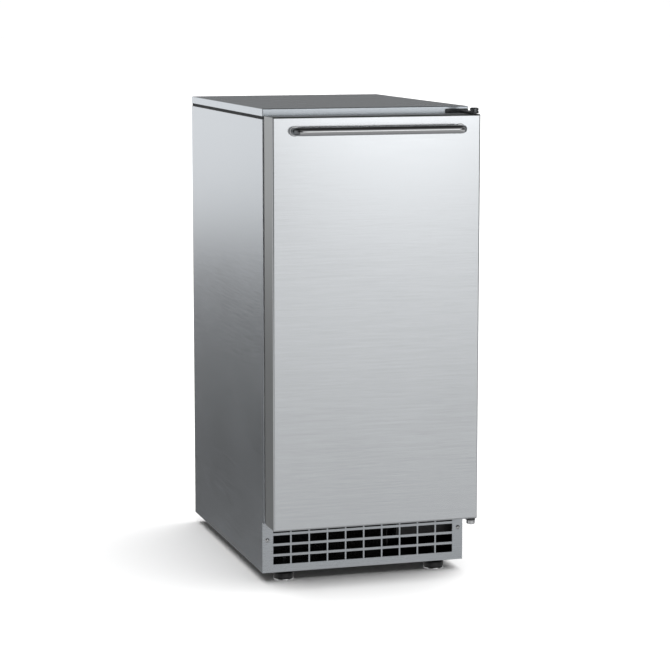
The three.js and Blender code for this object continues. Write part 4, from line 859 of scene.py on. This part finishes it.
def make_hinges():
    """Bent steel brackets: an upright leaf, a tab with a round nose, screws, and a capped pin."""
    for level in ("upper", "lower"):
        node = level + "_hinge_bracket"
        lo, hi = corners_of(node)
        upper = level == "upper"
        pin_lo, pin_hi = corners_of(level + "_hinge_pin")
        pin = (pin_lo + pin_hi) / 2
        thick = 3 * MM
        leaf = block(np.array([lo[0], hi[1] - thick, lo[2]]), hi.copy(), "y", 2 * MM, 0.5 * MM)
        door_lo, door_hi = corners_of("door_skin")
        tab_low = door_hi[2] + 1 * MM if upper else door_lo[2] - 1 * MM - thick
        reach = hi[0] - pin[0]
        turn = np.linspace(math.pi, 2 * math.pi, 17)
        nose = np.stack([pin[0] + reach * np.cos(turn), pin[1] + reach * np.sin(turn)], -1)
        flat = np.concatenate([nose, [(hi[0], hi[1] - 0.2 * MM), (pin[0] - reach, hi[1] - 0.2 * MM)]])
        tab = plate(flat, "z", tab_low, tab_low + thick)
        add_piece(node + "_bent", [leaf, tab], BRACKET_BLACK, "cabinet", (node,), 0.4 * MM)
        z = (lo[2] + hi[2]) / 2 + (2 * MM if upper else 0)
        spots = [(lo[0] + 8 * MM, hi[1] - thick, z), (lo[0] + 21 * MM, hi[1] - thick, z)]
        screws = [cross_head(spot, "y", 3 * MM, 1.6 * MM, -1) for spot in spots]
        add_piece(level + "_hinge_screws", screws, BRACKET_BLACK, "cabinet")
        flange = [(8, 0), (8, 1.4), (6.6, 1.6), (6.6, 2.2)]
        crown = [(7.8, 2.4), (7.8, 5.6), (7.0, 6.6), (5, 7.2), (0, 7.3)]
        stem = [(0, -24), (3.4, -24), (4, -23.2), (4, 0)]
        facing = 1 if upper else -1
        start = tab_low + thick if upper else tab_low
        centre = (pin[0], pin[1], start)
        profile = [(r * MM, facing * h * MM) for r, h in stem + flange + crown]
        finish = DARK_STEEL if upper else BRIGHT_STEEL
        capped = turned(profile, centre)
        add_piece(level + "_hinge_pin_turned", capped, finish, "cabinet", (level + "_hinge_pin",))


def make_feet():
    """A threaded stud, a round black grip, and a bright pressed rim on the floor."""
    for corner in ("front_left", "front_right", "rear_left", "rear_right"):
        node = "levelling_foot_" + corner
        lo, hi = corners_of(node)
        centre = np.array([(lo[0] + hi[0]) / 2, (lo[1] + hi[1]) / 2, 0])
        body = "foot_" + corner
        rim = [(0, 0), (15, 0), (17.4, 0.3), (18.4, 1.2), (18.3, 2.2), (17.2, 3.0), (0, 3.0)]
        add_piece(node + "_rim", turned(in_metres(rim), centre), BRIGHT_STEEL, body, (node,))
        grip = [(0, 3.0), (16.4, 3.0), (18.0, 4.0), (18.4, 5.6)]
        grip += [(18.4, 11.6), (17.2, 13.4), (13, 14.0), (0, 14.0)]
        add_piece(node + "_grip", turned(in_metres(grip), centre), BLACK_PART, body)
        turns, pitch = 17, 1.5
        thread = [(0, 13.5), (4.9, 13.5)]
        for k in range(turns):
            thread += [(4.9, 14 + k * pitch + 0.4), (4.2, 14 + k * pitch + 1.1)]
        stud = thread + [(4.0, 40.4), (3.4, 41), (0, 41)]
        add_piece(node + "_stud", turned(in_metres(stud), centre, steps=24), BRACKET_BLACK, body)


# ---------------------------------------------------------------- freezing unit
def make_freezer():
    for node, material, body, sharp, bevel in (
        ("evaporator_housing", WHITE_PART, "cabinet", 50, 0.5),
        ("evaporator", TINNED, "cabinet", 50, 0.2),
        ("evaporator_coil", COPPER, "cabinet", 50, 0.0),
        ("spray_bar", GREY_PART, "cabinet", 60, 0.0),
        ("cube_chute", BLUE_CLEAR, "cabinet", 50, 0.3),
        ("pump_motor", BLACK_PART, "cabinet", 50, 0.4),
        ("pump_impeller", GREY_PART, "impeller", 50, 0.2),
        ("float_stem", GREY_PART, "cabinet", 50, 0.3),
        ("float_switch", WHITE_PART, "float", 50, 0.6),
    ):
        smooth_copy(node, material, body, sharp, bevel * MM)
    make_sump()
    make_curtain()
    make_scoop()


def make_sump():
    lo, hi = corners_of("water_sump")
    tub = tray(lo, hi, "z", False, 10 * MM, 4 * MM, 2.5 * MM)
    add_piece("water_sump_tub", tub, WHITE_PART, "cabinet", ("water_sump",))


def make_curtain():
    """A flap with a row of tall slots, hung from a barrel with a pin at each end."""
    lo, hi = corners_of("ice_curtain")
    pivot = np.array([0, (lo[1] + hi[1]) / 2, hi[2] - 4 * MM])
    half = -lo[0] - 7 * MM
    slots = 8
    pitch = 2 * half / slots
    middles = (np.arange(slots) + 0.5) * pitch - half
    across = np.concatenate([[-half], np.stack([middles - 4 * MM, middles + 4 * MM], -1).ravel(), [half]])
    up = [lo[2], lo[2] + 12 * MM, lo[2] + 52 * MM, pivot[2]]
    is_open = np.zeros((len(across) - 1, len(up) - 1), bool)
    is_open[1::2, 1] = True
    flap = punched("y", up, across, pivot[1] - 1.25 * MM, pivot[1] + 1.25 * MM, is_open.T)
    barrel = [(0, -half), (3.4 * MM, -half), (4 * MM, -half + 0.6 * MM)]
    barrel += [(r, -h) for r, h in barrel[::-1]]
    pin = [(0, lo[0]), (2 * MM, lo[0]), (2.5 * MM, lo[0] + 0.5 * MM)]
    pin += [(r, -h) for r, h in pin[::-1]]
    ribs = []
    for x in np.arange(1, slots) * pitch - half:
        rib_lo = np.array([x - 0.9 * MM, pivot[1] - 2.6 * MM, lo[2] + 3 * MM])
        rib_hi = np.array([x + 0.9 * MM, pivot[1], pivot[2]])
        ribs.append(block(rib_lo, rib_hi, "x", 1 * MM, 0.3 * MM))
    shells = [flap, turned(barrel, pivot, "x", 24), turned(pin, pivot, "x", 24)] + ribs
    add_piece("ice_curtain_flap", shells, BLUE_CLEAR, "curtain", ("ice_curtain",), 0.3 * MM)


def make_scoop():
    smooth_copy("ice_scoop", BLUE_CLEAR, "scoop", bevel=0.6 * MM)
    smooth_copy("scoop_holder", WHITE_PART, "cabinet", bevel=0.6 * MM)


# ---------------------------------------------------------------- refrigeration unit
def make_machine():
    make_compressor()
    make_condenser()
    make_fan()
    make_controls()
    for node in ("suction_tube", "feed_tube", "liquid_tube", "discharge_tube", "filter_drier"):
        smooth_copy(node, COPPER, "cabinet")
    smooth_copy("water_fill_tube", WHITE_PART, "cabinet")
    smooth_copy("drain_tube", GREY_PART, "cabinet", bevel=0.3 * MM)
    smooth_copy("fan_bracket", ZINC_SHEET, "cabinet", bevel=0.3 * MM)
    make_water_valve()
    make_power_inlet()


def make_compressor():
    """An oval welded can: turned profile stretched along X, on a plate with rubber feet."""
    lo, hi = corners_of("compressor")
    middle = (lo + hi) / 2
    radius = (hi[1] - lo[1]) / 2
    base = hi[2] - 152 * MM
    tall = hi[2] - base
    lower = [(0, 0), (0.76, 0.0), (0.86, 0.02), (0.925, 0.07), (0.95, 0.16), (0.955, 0.47)]
    seam = [(0.99, 0.485), (1.0, 0.49), (1.0, 0.525), (0.985, 0.535), (0.945, 0.54)]
    upper = [(0.93, 0.70), (0.90, 0.80), (0.83, 0.89), (0.70, 0.95), (0.50, 0.985), (0.25, 0.998), (0, 1.0)]
    profile = [(r * radius, h * tall) for r, h in lower + seam + upper]
    points, faces = turned(profile, (middle[0], middle[1], base), steps=64)
    points[:, 0] = middle[0] + (points[:, 0] - middle[0]) * 1.2
    half_x, half_y = radius * 0.86, radius * 0.66
    corner_lo = np.array([middle[0] - half_x, middle[1] - half_y, base - 3 * MM])
    corner_hi = np.array([middle[0] + half_x, middle[1] + half_y, base])
    mount_plate = block(corner_lo, corner_hi, "z", 12 * MM, 0.8 * MM)
    add_piece("compressor_can", [(points, faces), mount_plate], CAN_BLACK, "cabinet", ("compressor",))
    feet = []
    bead = [(4, 0.3), (10, 0.3), (10.5, 1.2), (10, 2.2), (8.4, 3.2)]
    bead += [(8.4, 5), (9.6, 6.2), (9.6, 7.8), (4, 8.4)]
    for sx in (-1, 1):
        for sy in (-1, 1):
            x = middle[0] + sx * (half_x - 13 * MM)
            y = middle[1] + sy * (half_y - 13 * MM)
            spot = (x, y, base - 11.7 * MM)
            feet.append(ring_of(in_metres(bead), spot, steps=24))
    add_piece("compressor_rubber_feet", feet, SEAL_RUBBER, "cabinet")
    lo, hi = corners_of("compressor_terminal_cover")
    cover = block(lo, hi, "x", 8 * MM, 3 * MM)
    add_piece("terminal_cover_moulding", cover, BLACK_PART, "cabinet", ("compressor_terminal_cover",))


def make_condenser():
    """A stack of thin fins between two thicker cheeks, on two rows of straight round tubes."""
    lo, hi = corners_of("condenser")
    left, right = lo[0] + 5 * MM, hi[0] - 5 * MM
    fin, cheek, fin_count = 0.35 * MM, 1.5 * MM, 74

    def upright(x, thick, radius, edge, steps=4):
        ends = np.array([x, lo[1], lo[2]]), np.array([x + thick, hi[1], hi[2]])
        return block(*ends, "x", radius, edge, steps)

    places = np.linspace(left + cheek, right - 2 * MM, fin_count)
    fins = [upright(x, fin, 0.5 * MM, 0.1 * MM, 1) for x in places]
    cheeks = [upright(x, cheek, 1 * MM, 0.3 * MM) for x in (left, right - cheek)]
    # The fins and tubes are near-black: black paint, and painted shade behind the grille's slots.
    add_piece("condenser_fins", fins + cheeks, FIN_BLACK_AND_SHADE, "cabinet", ("condenser",))
    middle = (lo[1] + hi[1]) / 2
    rows, tall = 3, hi[2] - lo[2]
    tubes = []
    ends = (left - 4 * MM, right + 4 * MM)
    tube = [(0, ends[0]), (4 * MM, ends[0]), (4 * MM, ends[1]), (0, ends[1])]
    for depth in (-11 * MM, 11 * MM):
        for k in range(2 * rows):
            z = lo[2] + (k + 0.5) * tall / (2 * rows)
            tubes.append(turned(tube, (0, middle + depth, z), "x", 20))
    add_piece("condenser_tubes", tubes, FIN_BLACK_AND_SHADE, "cabinet")


def make_fan():
    """Five twisted blades on a hub, in a pressed shroud with a rolled mouth."""
    lo, hi = corners_of("fan_blade")
    shroud_lo, shroud_hi = corners_of("fan_shroud")
    middle_x = (shroud_lo[0] + shroud_hi[0]) / 2
    centre = np.array([middle_x, lo[1] + 9.5 * MM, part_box("fan_motor")[0][2] + 36 * MM])
    span = np.linspace(13 * MM, 65.5 * MM, 14)[:, None]
    chord = np.linspace(0, 1, 17)[None, :]
    reach = (span - span.min()) / (span.max() - span.min())
    pitch = 0.85 - 0.40 * reach
    width = 30 * MM + 12 * MM * np.sin(reach * math.pi * 0.6)
    place = (chord - 0.5) * width
    camber = 3.5 * MM * (1 - (2 * chord - 1) ** 2)
    across = place * np.cos(pitch) - camber * np.sin(pitch)
    along = -place * np.sin(pitch) * 0.42 - camber * np.cos(pitch) * 0.5
    angle = across / span
    skin = np.stack([span * np.cos(angle), along, span * np.sin(angle)], -1)
    thick = np.array([0, 0.8 * MM, 0])
    rings = np.concatenate([skin + thick, (skin - thick)[:, ::-1]], axis=1)
    blade = lofted(rings + centre)
    shells = [spun(blade, k * 2 * math.pi / 5, centre, "y") for k in range(5)]
    hub = [(0, -8), (11, -8), (14.5, -6.5), (15, -4), (15, 7.5), (14, 9), (3.1, 9), (3.1, 36), (0, 36)]
    shells.append(turned(in_metres(hub), centre, "y", 40))
    add_piece("fan_impeller", shells, BLACK_PART, "fan", ("fan_blade",))

    mouth = 70 * MM
    sheet_back = shroud_lo[1] + SHEET
    outer = sections(shroud_lo, shroud_hi, "y", 2 * MM, [(0, sheet_back), (0, shroud_lo[1])], 12)
    inside = curl((0, shroud_lo[1] + 5 * MM), (-4 * MM, shroud_lo[1]))[::-1] + [(0, shroud_hi[1])]
    outside = [(-SHEET, shroud_hi[1])] + curl((-SHEET, sheet_back + 4 * MM), (-5 * MM, sheet_back))
    ring = round_sections(centre, mouth, inside + outside)
    shroud = lofted(np.concatenate([outer, ring]), closed=True)
    # The shroud is near-black: black paint, and painted shade behind the condenser.
    add_piece("fan_shroud_pressed", shroud, CAN_BLACK, "cabinet", ("fan_shroud",))

    lo, hi = corners_of("fan_motor")
    middle = (lo + hi) / 2
    front = [(0, 0), (3.8, 0), (12, 0), (13, 0), (30, 1.5), (34.5, 4), (36, 8), (36, 18)]
    rear = [(35, 19), (35, 29), (36, 30), (36, 40), (34.5, 44), (30, 46.5), (0, 48)]
    case = turned(in_metres(front + rear), (middle[0], lo[1], middle[2]), "y")
    add_piece("fan_motor_case", case, CAN_BLACK, "cabinet", ("fan_motor",))


def round_sections(centre, radius, stations):
    """Circles about a line along Y, one per station (inset, place), starting where a box's outline does."""
    turn = np.concatenate([k * math.pi / 2 + np.linspace(0, math.pi / 2, 13) for k in range(4)])
    inset, place = np.array(stations).T
    size = (radius - inset)[:, None]
    rings = np.empty((len(inset), len(turn), 3))
    rings[..., 0] = centre[0] + size * np.sin(turn)
    rings[..., 1] = place[:, None]
    rings[..., 2] = centre[2] + size * np.cos(turn)
    return rings


def make_controls():
    """A black box whose front has a square pocket, with a rocker in a bezel over it."""
    lo, hi = corners_of("control_box")
    rocker_lo, rocker_hi = corners_of("power_rocker")
    middle = (rocker_lo + rocker_hi) / 2
    half = np.array([7.5, 0, 12.5]) * MM
    cuts_z = [lo[2], middle[2] - half[2], middle[2] + half[2], hi[2]]
    cuts_x = [lo[0], middle[0] - half[0], middle[0] + half[0], hi[0]]
    is_open = np.zeros((3, 3), bool)
    is_open[1, 1] = True
    front = punched("y", cuts_z, cuts_x, lo[1], lo[1] + 13.8 * MM, is_open)
    rear = block(np.array([lo[0], lo[1] + 13.8 * MM, lo[2]]), hi, "y", 1 * MM, 0.2 * MM)
    # Near-black: black paint, and painted shade seen through the grille's upper slots.
    add_piece("control_case", [front, rear], PAN_BLACK_AND_SHADE, "cabinet", ("control_box",), 0.4 * MM)
    bezel_lo = np.array([middle[0] - 9.5 * MM, lo[1] - 1.2 * MM, middle[2] - 14.5 * MM])
    bezel_hi = np.array([middle[0] + 9.5 * MM, lo[1], middle[2] + 14.5 * MM])
    face, inner_end = lo[1] - 1.2 * MM, lo[1] + 10 * MM
    ring = [(0, lo[1]), (0.3 * MM, face), (2.1 * MM, face), (2.3 * MM, inner_end), (2.1 * MM, inner_end)]
    add_piece("rocker_bezel", band(bezel_lo, bezel_hi, "y", 2 * MM, ring), BLACK_PART, "cabinet")
    smooth_copy("power_rocker", BLACK_PART, "rocker", sharp=30, bevel=0.5 * MM)


def make_water_valve():
    """The valve's body and spigot. Its thread is a row of fine ridges, not a helix."""
    smooth_copy("water_inlet_valve", BLACK_PART, "cabinet", bevel=0.4 * MM)
    lo, hi = corners_of("water_inlet_valve")
    x, z = (lo[0] + hi[0]) / 2, lo[2] + 17 * MM
    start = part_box("back_panel")[1][1]
    ridges = []
    for k in range(6):
        place = start + (2 + k * 1.9) * MM
        profile = [(13.9 * MM, place), (14.25 * MM, place + 0.6 * MM), (13.9 * MM, place + 1.2 * MM)]
        ridges.append(ring_of(profile, (x, 0, z), "y", 40))
    add_piece("water_valve_thread", ridges, BLACK_PART, "cabinet")


def make_power_inlet():
    """The inlet's shell and its three flat blades."""
    smooth_copy("power_inlet", BLACK_PART, "cabinet", bevel=0.4 * MM)
    lo, hi = corners_of("power_inlet")
    middle = (lo + hi) / 2
    blades = []
    for dx, dz in ((-7, -2), (0, 2), (7, -2)):
        spot = np.array([middle[0] + dx * MM, hi[1] - 17.5 * MM, middle[2] + dz * MM])
        blade_lo = spot - [1 * MM, 0, 2 * MM]
        blade_hi = spot + [1 * MM, 13 * MM, 2 * MM]
        blades.append(block(blade_lo, blade_hi, "y", 0.4 * MM, 0.4 * MM))
    add_piece("power_inlet_blades", blades, BRIGHT_STEEL, "cabinet")


make_camera()
make_room()
make_floor()
make_backdrop()
overhead_light()
make_door()
make_cabinet()
make_feet()
make_freezer()
make_machine()
